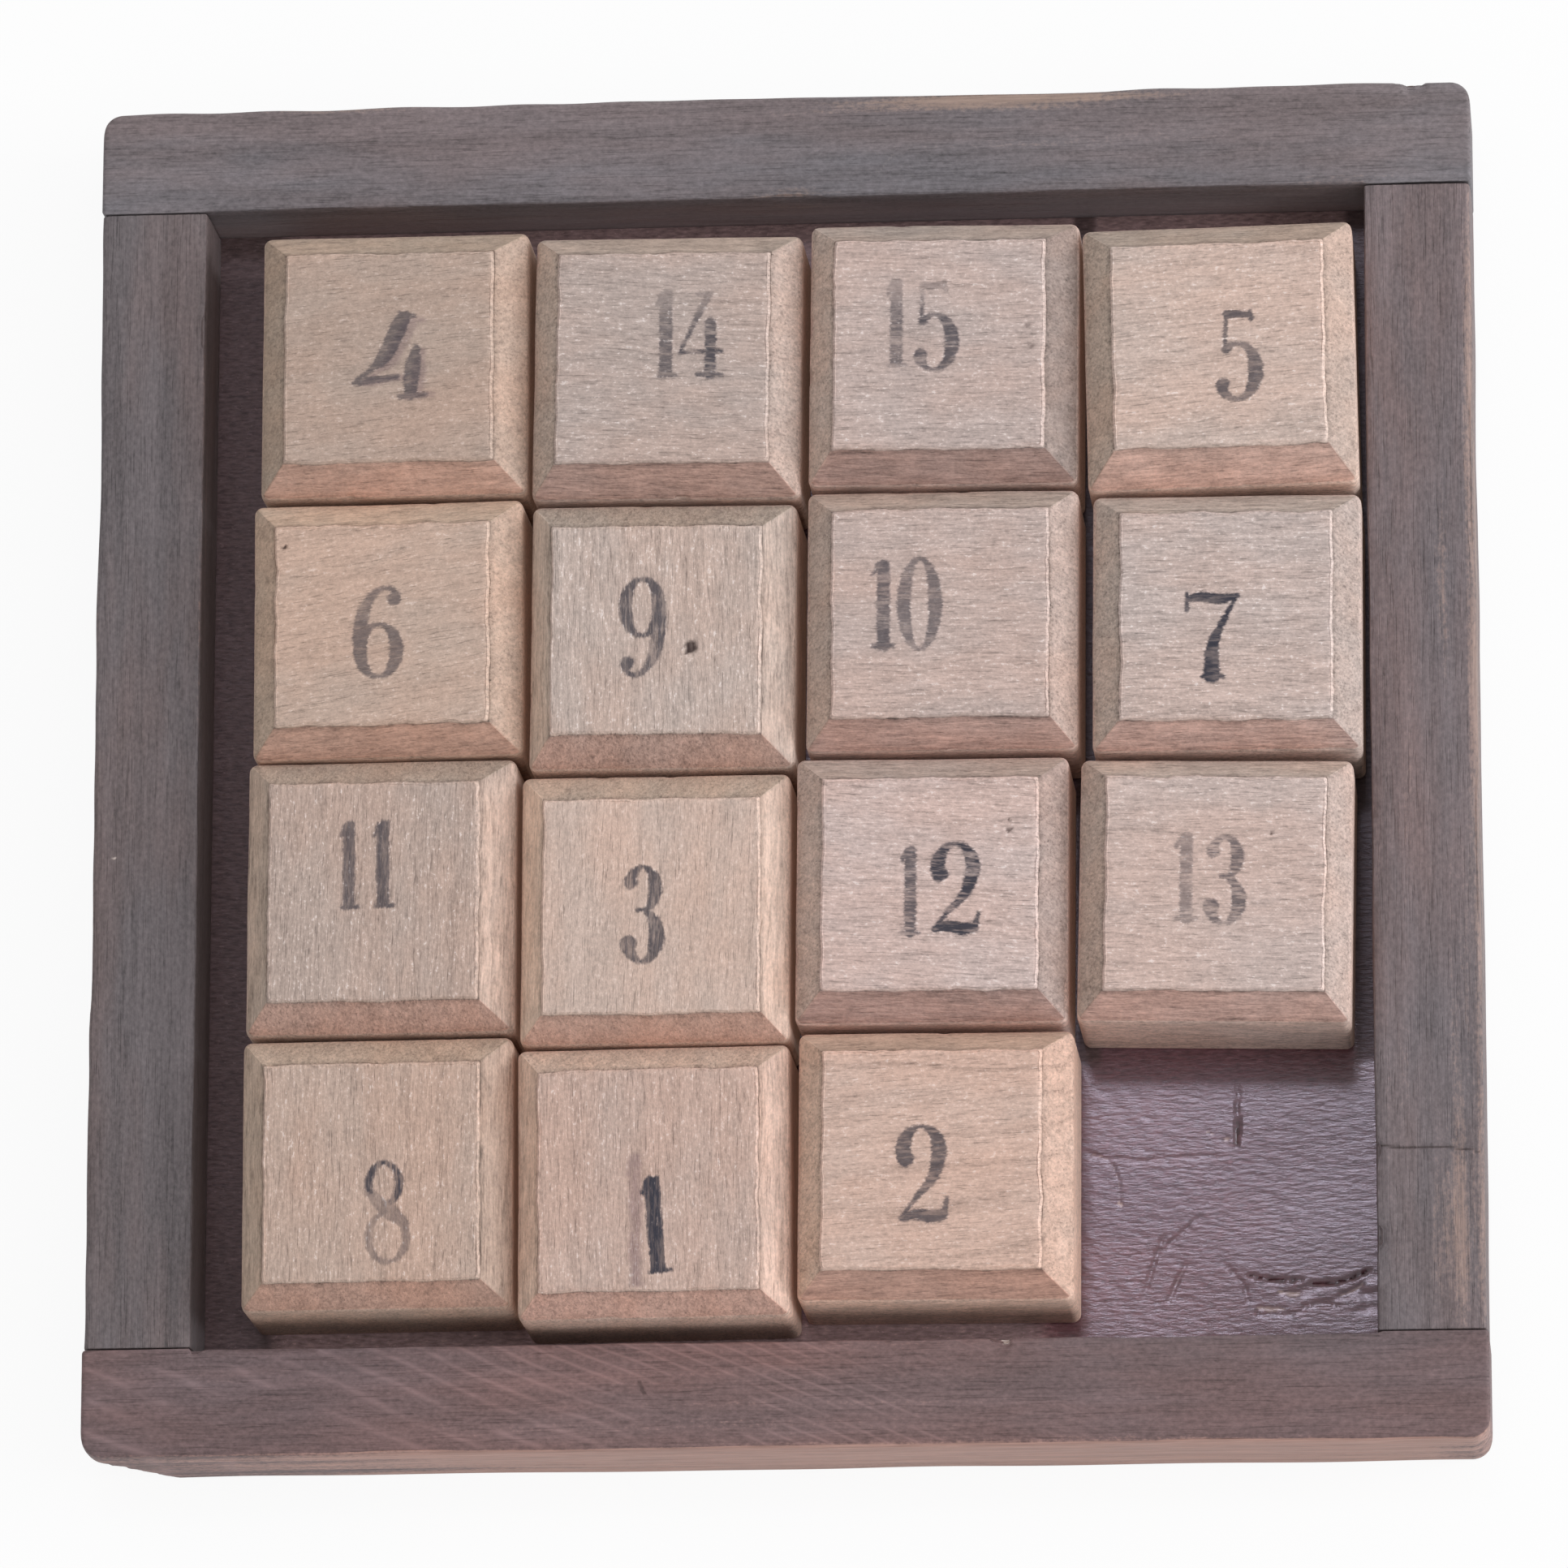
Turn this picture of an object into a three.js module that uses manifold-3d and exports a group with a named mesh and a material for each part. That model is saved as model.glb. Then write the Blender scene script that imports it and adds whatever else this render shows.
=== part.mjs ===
// Wooden sliding puzzle: fifteen loose numbered blocks in a shallow open tray with one empty place.
// Millimetres, +Z up. The origin lies under the middle of the tray, on the surface it stands on.
// +X is the right of the tray and +Y is its back, as the numbers on the blocks read.

import * as THREE from 'three';
import { mergeVertices } from 'three/addons/utils/BufferGeometryUtils.js';
import Module from 'manifold-3d';

// Blocks
const blockSide = 29.2; // before each block's own difference
const blockHeight = 17;
const bevelWidth = 2.75;
const bevelDrop = 3.5;
const quirkDepth = 0.25; // small upright step between the flat top and the bevel
const shoulderWear = 0.4; // worn edge between the bevel and the side
const footChamfer = 0.4;
const blockCornerRadius = 1.2;

// Places of the blocks
const perSide = 4;
const slideGap = 0.8; // play between neighbouring blocks
const looseRoom = 7.2; // further room across the tray, once the blocks stand in their rows
const rightGap = 1.2; // from the last column's cells to the right rail
const frontGap = 2.5; // from the first row's cells to the front rail

// Tray
const railWidth = 11.8;
const trayHeight = 13;
const railArris = 0.8; // rounding of the rails' upper edges
const trayCornerRadius = 2.2;
const baseThickness = 3;
const rebateDepth = 4.5; // how far the base board reaches under each rail
const baseFit = 0.3; // clearance round the base board in its rebate
const jointGap = 0.3; // open line at each end of the side rails

// Broken lower corner of the front rail, at its left end
const chipLength = 8.5;
const chipDepth = 6;
const chipHeight = 12;

// Corner nails, two at each corner, driven through the long rails into the ends of the side rails
const cornerNailLength = 24;
const cornerNailRadius = 0.7;
const cornerHeadRadius = 1.25;
const cornerNailSpacing = 4.2;
const cornerNailInset = 6.4; // from the tray's outer side to the nail

// Base pins, three along each rail, driven up through the base board
const basePinLength = 8.5;
const basePinRadius = 0.55;
const basePinHeadRadius = 1.05;
const basePinInset = 18.2; // from the opening's corners to the outer pins of a rail

// Nails in general
const nailHeadThickness = 0.6;
const nailSunk = 0.2; // head below the wood's surface
const nailFit = 0.3; // clearance between a nail and its hole
const nailPointLength = 1.8;

// Smoothness of curved faces
const arcSteps = 3;
const nailSides = 8;

// Sizes that follow from those above
const pitch = blockSide + slideGap;
const opening = perSide * pitch - slideGap + looseRoom;
const traySide = opening + 2 * railWidth;
const halfTray = traySide / 2;
const halfOpening = opening / 2;
const pinLine = halfOpening + rebateDepth / 2;
const basePinSpread = halfOpening - basePinInset; // from the middle pin of a rail to the outer ones
const mostTurn = slideGap / blockSide; // radians a block can turn in its own place

// Colours
const blockWood = { color: 0xb9a28f, roughness: 0.62, metalness: 0 };
const railWood = { color: 0x5d5350, roughness: 0.66, metalness: 0 };
const baseWood = { color: 0x4f4045, roughness: 0.5, metalness: 0 };
const nailIron = { color: 0x5a4b44, roughness: 0.6, metalness: 0.8 };

// Blocks by row, from the back to the front and from left to right: number, shift right and shift back as
// shares of the slide gap, turn as a share of the most turn, extra width and depth as shares of the slide gap
const rows = [
  [
    [4, 0.85, 0.25, 0, -0.1, 0.5],
    [14, 0.55, -0.9, -0.4, -0.1, 0.5],
    [15, 0.6, 0.1, -0.4, 0, 0.2],
    [5, 0.4, -1.05, 0.6, -0.05, 0.25],
  ],
  [
    [6, 0.3, 0.7, 0.25, 0.1, -0.9],
    [9, 0.1, -1, -0.3, -0.6, 0.25],
    [10, 0.3, 0.45, -0.25, 0.1, -0.4],
    [7, 1, -0.65, -0.3, -0.45, -1.05],
  ],
  [
    [11, -0.25, 1.2, 0, -0.2, 1.1],
    [3, -0.8, -1.1, -0.1, -0.3, 0.35],
    [12, -1.2, 0.8, -0.3, 0, -0.1],
    [13, -0.9, 0.05, -0.85, -0.1, -0.6],
  ],
  [
    [8, -0.4, 0.9, 0.15, -0.2, 0.25],
    [1, -0.85, -0.8, 0.25, -0.05, 0.25],
    [2, -0.8, 0.8, -0.25, 0.25, -0.15],
  ],
];

const wasm = await Module();
wasm.setup();

// A closed geometry as a solid that can be joined and cut.
function toSolid(geometry) {
  const bare = geometry.clone();
  bare.deleteAttribute('normal');
  bare.deleteAttribute('uv');
  const merged = mergeVertices(bare, 1e-5);
  const index = merged.index.array;
  const corners = [];
  for (let i = 0; i < index.length; i += 3) {
    const [a, b, c] = [index[i], index[i + 1], index[i + 2]];
    if (a !== b && b !== c && c !== a) {
      corners.push(a, b, c);
    }
  }
  const vertProperties = new Float32Array(merged.attributes.position.array);
  const triVerts = new Uint32Array(corners);
  return new wasm.Manifold(new wasm.Mesh({ numProp: 3, vertProperties, triVerts }));
}

function toGeometry(solid) {
  const mesh = solid.getMesh();
  const geometry = new THREE.BufferGeometry();
  geometry.setAttribute('position', new THREE.BufferAttribute(mesh.vertProperties, 3));
  geometry.setIndex(new THREE.BufferAttribute(mesh.triVerts, 1));
  geometry.computeVertexNormals();
  return geometry;
}

function cutAll(solid, cutters) {
  return cutters.reduce((rest, cutter) => rest.subtract(cutter), solid);
}

function roundedSquare(side, radius) {
  const flat = side / 2 - radius;
  const shape = new THREE.Shape();
  shape.absarc(flat, flat, radius, 0, Math.PI / 2);
  shape.absarc(-flat, flat, radius, Math.PI / 2, Math.PI);
  shape.absarc(-flat, -flat, radius, Math.PI, 1.5 * Math.PI);
  shape.absarc(flat, -flat, radius, 1.5 * Math.PI, 2 * Math.PI);
  return shape;
}

function upright(shape, height) {
  return new THREE.ExtrudeGeometry(shape, { depth: height, bevelEnabled: false, curveSegments: arcSteps });
}

// A profile of [radius, height] pairs turned about Z; four sides give a square form with mitred corners.
function turned(profile, sides, startAngle) {
  const points = profile.map(([radius, height]) => new THREE.Vector2(radius, height));
  return new THREE.LatheGeometry(points, sides, startAngle).rotateX(Math.PI / 2);
}

// A block: a four-sided profile makes the mitred bevels, and a rounded square takes off the upright corners.
function blockGeometry() {
  const half = blockSide / 2;
  const flat = half - bevelWidth;
  const shoulder = blockHeight - bevelDrop;
  const slope = (bevelDrop - quirkDepth) / bevelWidth;
  const profile = [
    [0, 0],
    [half - footChamfer, 0],
    [half, footChamfer],
    [half, shoulder - shoulderWear],
    [half - shoulderWear, shoulder + shoulderWear * slope],
    [flat, blockHeight - quirkDepth],
    [flat, blockHeight],
    [0, blockHeight],
  ];
  const cornerProfile = profile.map(([reach, height]) => [reach * Math.SQRT2, height]);
  const square = toSolid(turned(cornerProfile, 4, Math.PI / 4));
  const trim = toSolid(upright(roundedSquare(blockSide, blockCornerRadius), blockHeight));
  return toGeometry(square.intersect(trim));
}

// A nail with its head at z = 0 and its point downwards.
function nailGeometry(length, radius, headRadius) {
  const profile = [
    [0, -length],
    [radius, -length + nailPointLength],
    [radius, -nailHeadThickness],
    [headRadius, -nailHeadThickness],
    [headRadius, 0],
    [0, 0],
  ];
  return turned(profile, nailSides, 0);
}

// The hole for such a nail, wider and deeper by the fit and open above the head.
function nailHole(length, radius, headRadius) {
  const profile = [
    [0, -length - nailFit],
    [radius + nailFit, -length - nailFit],
    [radius + nailFit, -nailHeadThickness - nailFit],
    [headRadius + nailFit, -nailHeadThickness - nailFit],
    [headRadius + nailFit, nailSunk * 2],
    [0, nailSunk * 2],
  ];
  return turned(profile, nailSides, 0);
}

// Rail section across the rail: square below, with both upper edges rounded.
function railSection() {
  const half = railWidth / 2;
  const shape = new THREE.Shape();
  shape.moveTo(-half, 0);
  shape.lineTo(half, 0);
  shape.absarc(half - railArris, trayHeight - railArris, railArris, 0, Math.PI / 2);
  shape.absarc(-half + railArris, trayHeight - railArris, railArris, Math.PI / 2, Math.PI);
  return shape;
}

// A straight rail along X, standing on z = 0 and centred on the origin.
function railBar(length) {
  const bar = upright(railSection(), length);
  bar.translate(0, 0, -length / 2);
  bar.rotateX(Math.PI / 2);
  bar.rotateZ(Math.PI / 2);
  return bar;
}

// Nails: name, place of the head, direction it is driven in, and its hole and shape
const nails = [];

function addNail(name, place, drive, kind) {
  const turn = new THREE.Quaternion().setFromUnitVectors(new THREE.Vector3(0, 0, -1), drive);
  const matrix = new THREE.Matrix4().compose(place, turn, new THREE.Vector3(1, 1, 1));
  const hole = toSolid(nailHole(...kind.sizes).applyMatrix4(matrix));
  nails.push({ name, place, turn, geometry: kind.geometry, hole });
}

const cornerSizes = [cornerNailLength, cornerNailRadius, cornerHeadRadius];
const cornerNail = { sizes: cornerSizes, geometry: nailGeometry(...cornerSizes) };
const pinSizes = [basePinLength, basePinRadius, basePinHeadRadius];
const basePin = { sizes: pinSizes, geometry: nailGeometry(...pinSizes) };

const nailMiddle = (baseThickness + trayHeight) / 2;
for (const [depthName, depthSide] of [['front', -1], ['back', 1]]) {
  for (const [sideName, side] of [['left', -1], ['right', 1]]) {
    for (const [levelName, level] of [['lower', -0.5], ['upper', 0.5]]) {
      const x = side * (halfTray - cornerNailInset);
      const y = depthSide * (halfTray - nailSunk);
      const place = new THREE.Vector3(x, y, nailMiddle + level * cornerNailSpacing);
      const drive = new THREE.Vector3(0, -depthSide, 0);
      addNail(`corner_nail_${depthName}_${sideName}_${levelName}`, place, drive, cornerNail);
    }
  }
}

const pinDrive = new THREE.Vector3(0, 0, 1);
for (const [along, step] of [['first', -1], ['middle', 0], ['last', 1]]) {
  const run = step * basePinSpread;
  addNail(`base_pin_front_${along}`, new THREE.Vector3(run, -pinLine, nailSunk), pinDrive, basePin);
  addNail(`base_pin_back_${along}`, new THREE.Vector3(run, pinLine, nailSunk), pinDrive, basePin);
  addNail(`base_pin_left_${along}`, new THREE.Vector3(-pinLine, run, nailSunk), pinDrive, basePin);
  addNail(`base_pin_right_${along}`, new THREE.Vector3(pinLine, run, nailSunk), pinDrive, basePin);
}

// The rebate that the base board sits in, cut from all four rails as one pocket.
const boardSide = opening + 2 * rebateDepth;
const pocket = toSolid(
  new THREE.BoxGeometry(boardSide + 2 * baseFit, boardSide + 2 * baseFit, 2 * baseThickness)
);

// Outer upright faces of the whole tray, with its rounded corners.
const trayOutline = toSolid(upright(roundedSquare(traySide, trayCornerRadius), trayHeight));

// The broken corner: everything below a slanted plane through three points on the corner's edges.
function chipCutter() {
  const corner = new THREE.Vector3(-halfTray, -halfTray, 0);
  const alongFront = corner.clone().add(new THREE.Vector3(chipLength, 0, 0));
  const alongSide = corner.clone().add(new THREE.Vector3(0, chipDepth, 0));
  const upEdge = corner.clone().add(new THREE.Vector3(0, 0, chipHeight));
  const plane = new THREE.Plane().setFromCoplanarPoints(alongFront, upEdge, alongSide);
  const outward = plane.distanceToPoint(corner) > 0 ? plane.normal : plane.normal.negate();
  const size = 3 * Math.max(chipLength, chipDepth, chipHeight);
  const turn = new THREE.Quaternion().setFromUnitVectors(new THREE.Vector3(0, 0, 1), outward);
  const box = new THREE.BoxGeometry(size, size, size).translate(0, 0, size / 2);
  box.applyQuaternion(turn);
  box.translate(alongFront.x, alongFront.y, alongFront.z);
  return toSolid(box);
}

const holes = nails.map((nail) => nail.hole);
const longRail = railBar(traySide);
const sideRail = railBar(opening - 2 * jointGap);
const railLine = halfTray - railWidth / 2;

function railGeometry(bar, quarterTurns, x, y, cutters) {
  const placed = bar.clone().rotateZ(quarterTurns * Math.PI / 2).translate(x, y, 0);
  const trimmed = toSolid(placed).intersect(trayOutline);
  return toGeometry(cutAll(trimmed, [pocket, ...holes, ...cutters]));
}

function baseGeometry() {
  const board = new THREE.BoxGeometry(boardSide, boardSide, baseThickness);
  board.translate(0, 0, baseThickness / 2);
  return toGeometry(cutAll(toSolid(board), holes));
}

function piece(name, geometry, finish) {
  const mesh = new THREE.Mesh(geometry, new THREE.MeshStandardMaterial(finish));
  mesh.name = name;
  return mesh;
}

const tray = new THREE.Group();
tray.add(
  piece('base_board', baseGeometry(), baseWood),
  piece('back_rail', railGeometry(longRail, 0, 0, railLine, []), railWood),
  piece('front_rail', railGeometry(longRail, 0, 0, -railLine, [chipCutter()]), railWood),
  piece('left_rail', railGeometry(sideRail, 1, -railLine, 0, []), railWood),
  piece('right_rail', railGeometry(sideRail, 1, railLine, 0, []), railWood)
);
for (const nail of nails) {
  const mesh = piece(nail.name, nail.geometry, nailIron);
  mesh.position.copy(nail.place);
  mesh.quaternion.copy(nail.turn);
  tray.add(mesh);
}

// Blocks stand on the base board in rows, each a little off its place, turned as loose blocks are, and of
// its own width and depth as hand-sawn blocks are.
const blocks = new THREE.Group();
blocks.position.set(looseRoom / 2 - rightGap, frontGap - looseRoom / 2, baseThickness);
const oneBlock = blockGeometry();
const middle = (perSide - 1) / 2;
rows.forEach((row, fromBack) => {
  row.forEach(([number, shiftRight, shiftBack, turn, wider, deeper], fromLeft) => {
    const sawn = oneBlock.clone();
    sawn.scale(1 + wider * slideGap / blockSide, 1 + deeper * slideGap / blockSide, 1);
    const block = piece(`block_${String(number).padStart(2, '0')}`, sawn, blockWood);
    block.position.x = (fromLeft - middle) * pitch + shiftRight * slideGap;
    block.position.y = (middle - fromBack) * pitch + shiftBack * slideGap;
    block.rotation.z = turn * mostTurn;
    blocks.add(block);
  });
});

const puzzle = new THREE.Group();
puzzle.add(tray, blocks);

export default puzzle;
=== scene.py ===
import math

import bmesh
import bpy
import numpy as np
from mathutils import Matrix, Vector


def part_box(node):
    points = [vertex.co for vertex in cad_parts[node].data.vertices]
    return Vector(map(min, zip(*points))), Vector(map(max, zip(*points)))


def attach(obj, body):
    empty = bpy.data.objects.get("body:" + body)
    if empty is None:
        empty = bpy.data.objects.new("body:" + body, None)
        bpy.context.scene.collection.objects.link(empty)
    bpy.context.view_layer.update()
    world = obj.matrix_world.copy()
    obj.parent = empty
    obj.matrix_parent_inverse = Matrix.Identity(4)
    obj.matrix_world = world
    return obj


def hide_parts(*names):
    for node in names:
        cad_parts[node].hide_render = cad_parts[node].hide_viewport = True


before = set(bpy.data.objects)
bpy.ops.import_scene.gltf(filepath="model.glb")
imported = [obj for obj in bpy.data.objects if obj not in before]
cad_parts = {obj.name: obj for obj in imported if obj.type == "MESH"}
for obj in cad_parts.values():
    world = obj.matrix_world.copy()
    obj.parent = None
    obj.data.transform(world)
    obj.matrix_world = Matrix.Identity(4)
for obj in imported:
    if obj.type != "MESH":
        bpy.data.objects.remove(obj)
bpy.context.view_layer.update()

# Lengths below are in millimetres; makePiece turns them into metres.
mm = 0.001


# Smooth seeded unevenness: a few sine waves in seeded directions, added up, about -1 to 1.
def ripple(points, seed, wavelength, waves=9):
    draw = np.random.default_rng(seed)
    turns = draw.normal(size=(points.shape[-1], waves))
    turns /= np.linalg.norm(turns, axis=0)
    turns *= draw.uniform(0.6, 1.6, waves) * 2 * np.pi / wavelength
    phases = draw.uniform(0, 2 * np.pi, waves)
    return np.sin(points @ turns + phases).sum(-1) / math.sqrt(waves)


# Eases from 0 at low to 1 at high.
def ease(value, low, high):
    t = np.clip((value - low) / (high - low), 0, 1)
    return t * t * (3 - 2 * t)


# Lines from low to high, whose spacing at each place is what the function spacing says.
def spacedLines(low, high, spacing):
    fine = np.linspace(low, high, 4001)
    count = np.concatenate([[0], np.cumsum(np.diff(fine) / spacing(0.5 * (fine[1:] + fine[:-1])))])
    return np.interp(np.linspace(0, count[-1], int(round(count[-1])) + 1), count, fine)


# Quads between neighbouring rows of a grid of vertex numbers; wrap joins each row's end to its start.
def gridQuads(numbers, wrap=False):
    if wrap:
        numbers = np.concatenate([numbers, numbers[:, :1]], axis=1)
    corners = (numbers[:-1, :-1], numbers[:-1, 1:], numbers[1:, 1:], numbers[1:, :-1])
    return np.stack([c.ravel() for c in corners], axis=-1)


# The vertex numbers round a grid's border.
def gridBorder(numbers):
    return np.concatenate([numbers[0, :-1], numbers[:-1, -1], numbers[-1, :0:-1], numbers[:0:-1, 0]])


# A grid over a rectangle in plan, spaced along each axis as the function spacing says: its points, their
# numbers and the numbers round its border.
def planGrid(low, high, spacing):
    xs, ys = (spacedLines(low[k], high[k], lambda v: spacing(v, k)) for k in (0, 1))
    gridX, gridY = np.meshgrid(xs, ys)
    numbers = np.arange(gridX.size).reshape(gridX.shape)
    return np.stack([gridX.ravel(), gridY.ravel()], -1), numbers, gridBorder(numbers)


# Points in plan turned about the origin, by an angle in radians.
def turned(points, angle):
    c, s = math.cos(angle), math.sin(angle)
    return points @ np.array([[c, s], [-s, c]])


# A mesh object from points in millimetres, faces, and named values at the points. Points that share a
# place are merged, so that no face is without area.
def makePiece(name, points, faces, material, values=None, sharpAngle=40):
    mesh = bpy.data.meshes.new(name)
    mesh.from_pydata((np.asarray(points) * mm).tolist(), [], [list(f) for block in faces for f in block])
    for key, numbers in (values or {}).items():
        layer = mesh.attributes.new(key, "FLOAT", "POINT")
        layer.data.foreach_set("value", np.ascontiguousarray(numbers, np.float32))
    shape = bmesh.new()
    shape.from_mesh(mesh)
    bmesh.ops.remove_doubles(shape, verts=shape.verts, dist=1e-4 * mm)
    shape.to_mesh(mesh)
    shape.free()
    mesh.shade_smooth()
    mesh.set_sharp_from_angle(angle=math.radians(sharpAngle))
    mesh.materials.append(material)
    piece = bpy.data.objects.new(name, mesh)
    bpy.context.scene.collection.objects.link(piece)
    return piece


# Puts a piece in a node's place: it rides on the node's body, and the node's own part is hidden.
def standFor(piece, node, body):
    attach(piece, body)
    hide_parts(node)


# Lowest and highest corner of a node in millimetres.
def nodeBox(node):
    low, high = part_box(node)
    return np.array(low) / mm, np.array(high) / mm


# The node tree of a material or world, with short names for the nodes that the looks are made of.
class Nodes:
    def __init__(self, owner):
        owner.use_nodes = True
        self.owner, self.tree = owner, owner.node_tree

    # Fills sockets with values or links.
    def fill(self, node, sockets):
        for key, value in sockets.items():
            if isinstance(value, bpy.types.NodeSocket):
                self.tree.links.new(value, node.inputs[key])
            else:
                node.inputs[key].default_value = value

    def put(self, kind, sockets=None, **settings):
        node = self.tree.nodes.new(kind)
        for key, value in settings.items():
            setattr(node, key, value)
        self.fill(node, sockets or {})
        return node

    # Sets the material's own surface.
    def surface(self, sockets):
        self.fill(self.tree.nodes["Principled BSDF"], sockets)

    def calc(self, operation, a, b=0.0, clamp=False):
        return self.put("ShaderNodeMath", {0: a, 1: b}, operation=operation, use_clamp=clamp).outputs[0]

    def times(self, a, b):
        return self.calc("MULTIPLY", a, b)

    # a plus b * c for each pair of b and c
    def add(self, a, *pairs):
        for b, c in pairs:
            a = self.put("ShaderNodeMath", {0: b, 1: c, 2: a}, operation="MULTIPLY_ADD").outputs[0]
        return a

    # a plus (b - 0.5) * c for each pair, where b is a noise, which lies about 0.5
    def sway(self, a, *pairs):
        for b, c in pairs:
            a = self.add(a, (self.calc("SUBTRACT", b, 0.5), c))
        return a

    def ease(self, value, low, high, outLow=0.0, outHigh=1.0):
        sockets = {"Value": value, 1: low, 2: high, 3: outLow, 4: outHigh}
        return self.put("ShaderNodeMapRange", sockets, interpolation_type="SMOOTHSTEP").outputs[0]

    def blend(self, factor, a, b):
        return self.put("ShaderNodeMix", {0: factor, 6: a, 7: b}, data_type="RGBA").outputs[2]

    def vector(self, operation, a, b):
        return self.put("ShaderNodeVectorMath", {0: a, 1: b}, operation=operation).outputs[0]

    def tinted(self, colour, tint):
        return self.vector("MULTIPLY", colour, tint)

    def shaded(self, colour, shade):
        colour = colour[:3] if isinstance(colour, tuple) else colour
        return self.put("ShaderNodeVectorMath", {0: colour, "Scale": shade}, operation="SCALE").outputs[0]

    # The value that the mesh holds at its points under this name.
    def at(self, name):
        return self.put("ShaderNodeAttribute", attribute_name=name).outputs["Fac"]

    # Noise with so many waves for each millimetre along and across the grain.
    def noise(self, along, across, detail=3.0, rough=0.6, distortion=0.0):
        sockets = {"Vector": self.vector("MULTIPLY", self.grain, (along, across, across)), "Scale": 1.0,
                   "Detail": detail, "Roughness": rough, "Distortion": distortion}
        return self.put("ShaderNodeTexNoise", sockets).outputs[0]

    # Ends a material: colour, roughness and a bump of the given depth in millimetres.
    def finish(self, colour, roughness, height, depth, strength):
        bump = self.put("ShaderNodeBump", {"Strength": strength, "Distance": depth * mm, "Height": height})
        self.surface({"Base Color": colour, "Roughness": roughness, "Normal": bump.outputs[0]})


# Colour as it is seen on a screen, 0 to 255, in the renderer's own light units.
def paint(red, green, blue):
    seen = np.array([red, green, blue]) / 255
    light = np.where(seen <= 0.04045, seen / 12.92, ((seen + 0.055) / 1.055) ** 2.4)
    return (*light.tolist(), 1.0)


# Starts a material, with object coordinates in millimetres and X along the grain.
def startMaterial(name, centre, grainAngle, offset):
    n = Nodes(bpy.data.materials.new(name))
    place = n.put("ShaderNodeTexCoord").outputs["Object"]
    shift = {"Vector": place, "Location": [-c * mm for c in centre]}
    centred = n.put("ShaderNodeMapping", shift, vector_type="POINT").outputs[0]
    turn = {"Vector": centred, "Rotation": (0, 0, -math.radians(grainAngle)), "Scale": (1 / mm,) * 3}
    n.grain = n.vector("ADD", n.put("ShaderNodeMapping", turn, vector_type="POINT").outputs[0], offset)
    return n


# Start of the noise for a piece, drawn from its own seed.
def grainStart(seed):
    return np.random.default_rng(seed).uniform(-400, 400, 3).tolist()


# Stage: camera, lamps, world and floor. Angles are in degrees; focal is in widths of the picture.
stageLook = {
    "tilt": 13.58, "pan": 5.06, "roll": 0.07, "distance": 1071, "target": (0.35, -2.81, 14),
    "focal": 12281 / 1932, "sensor": 36,
    "lamps": {
        # name: (turn from the right towards the back, height angle, distance, size, watts, colour)
        "glint": (92, 72.7, 1500, 235, 1.82, (0.94, 0.87, 1.0)),
        "window": (0, 28, 1300, 700, 7.0, (0.97, 1.0, 1.03)),
    },
    "world": 0.68, "worldLean": (0.4, 0.12, 0.0),
    "floorSize": 6000, "floorGap": 0.05, "floorShadow": 0.09,
}


# An object at a place in millimetres, with its X, Y and Z along the given directions.
def hang(name, data, across, up, back, place):
    holder = bpy.data.objects.new(name, data)
    matrix = np.eye(4)
    matrix[:3] = np.column_stack([across, up, back, place * mm])
    holder.matrix_world = Matrix(matrix.tolist())
    bpy.context.scene.collection.objects.link(holder)
    return holder


# The photo's camera: tilted and panned off straight down, and rolled about its own axis.
def makeCamera(look):
    tilt, pan, roll = (math.radians(look[k]) for k in ("tilt", "pan", "roll"))
    back = np.array([math.sin(pan) * math.cos(tilt), -math.sin(tilt), math.cos(pan) * math.cos(tilt)])
    right = np.cross([0, 1, 0], back)
    right /= np.linalg.norm(right)
    up = np.cross(back, right)
    across = math.cos(roll) * right + math.sin(roll) * up
    upright = math.cos(roll) * up - math.sin(roll) * right
    lens = bpy.data.cameras.new("camera")
    lens.sensor_width, lens.lens = look["sensor"], look["focal"] * look["sensor"]
    lens.clip_start, lens.clip_end = 0.01, 100
    eye = np.array(look["target"]) + look["distance"] * back
    bpy.context.scene.camera = hang("camera", lens, across, upright, back, eye)


# Round area lamps that face the tray.
def makeLamps(look):
    for name, (turn, rise, distance, size, watts, colour) in look["lamps"].items():
        lamp = bpy.data.lights.new(name, "AREA")
        lamp.shape, lamp.size, lamp.energy, lamp.color = "DISK", size * mm, watts, colour
        a, e = math.radians(turn), math.radians(rise)
        away = np.array([math.cos(e) * math.cos(a), math.cos(e) * math.sin(a), math.sin(e)])
        side = np.cross([0, 0, 1], away)
        side /= np.linalg.norm(side)
        hang(name, lamp, side, np.cross(away, side), away, away * distance)


# 1 for rays that show a surface as it is seen, by the names of their kinds.
def seenBy(n, *kinds):
    path = n.put("ShaderNodeLightPath").outputs
    seen = path[f"Is {kinds[0]} Ray"]
    for kind in kinds[1:]:
        seen = n.calc("MAXIMUM", seen, path[f"Is {kind} Ray"])
    return seen


# Even light from all round that leans to one side; to the camera the background is plain white.
def makeWorld(look):
    world = bpy.context.scene.world = bpy.data.worlds.new("room")
    n = Nodes(world)
    seen = seenBy(n, "Camera", "Transmission")
    heading = n.put("ShaderNodeTexCoord").outputs["Generated"]
    lean = n.put("ShaderNodeVectorMath", {0: heading, 1: look["worldLean"]}, operation="DOT_PRODUCT")
    level = n.add(look["world"], (lean.outputs["Value"], look["world"]))
    strength = n.put("ShaderNodeMix", {0: seen, 2: level, 3: 1.0}, data_type="FLOAT").outputs[0]
    n.fill(n.tree.nodes["Background"], {"Strength": strength, "Color": (1, 1, 1, 1)})


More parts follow.
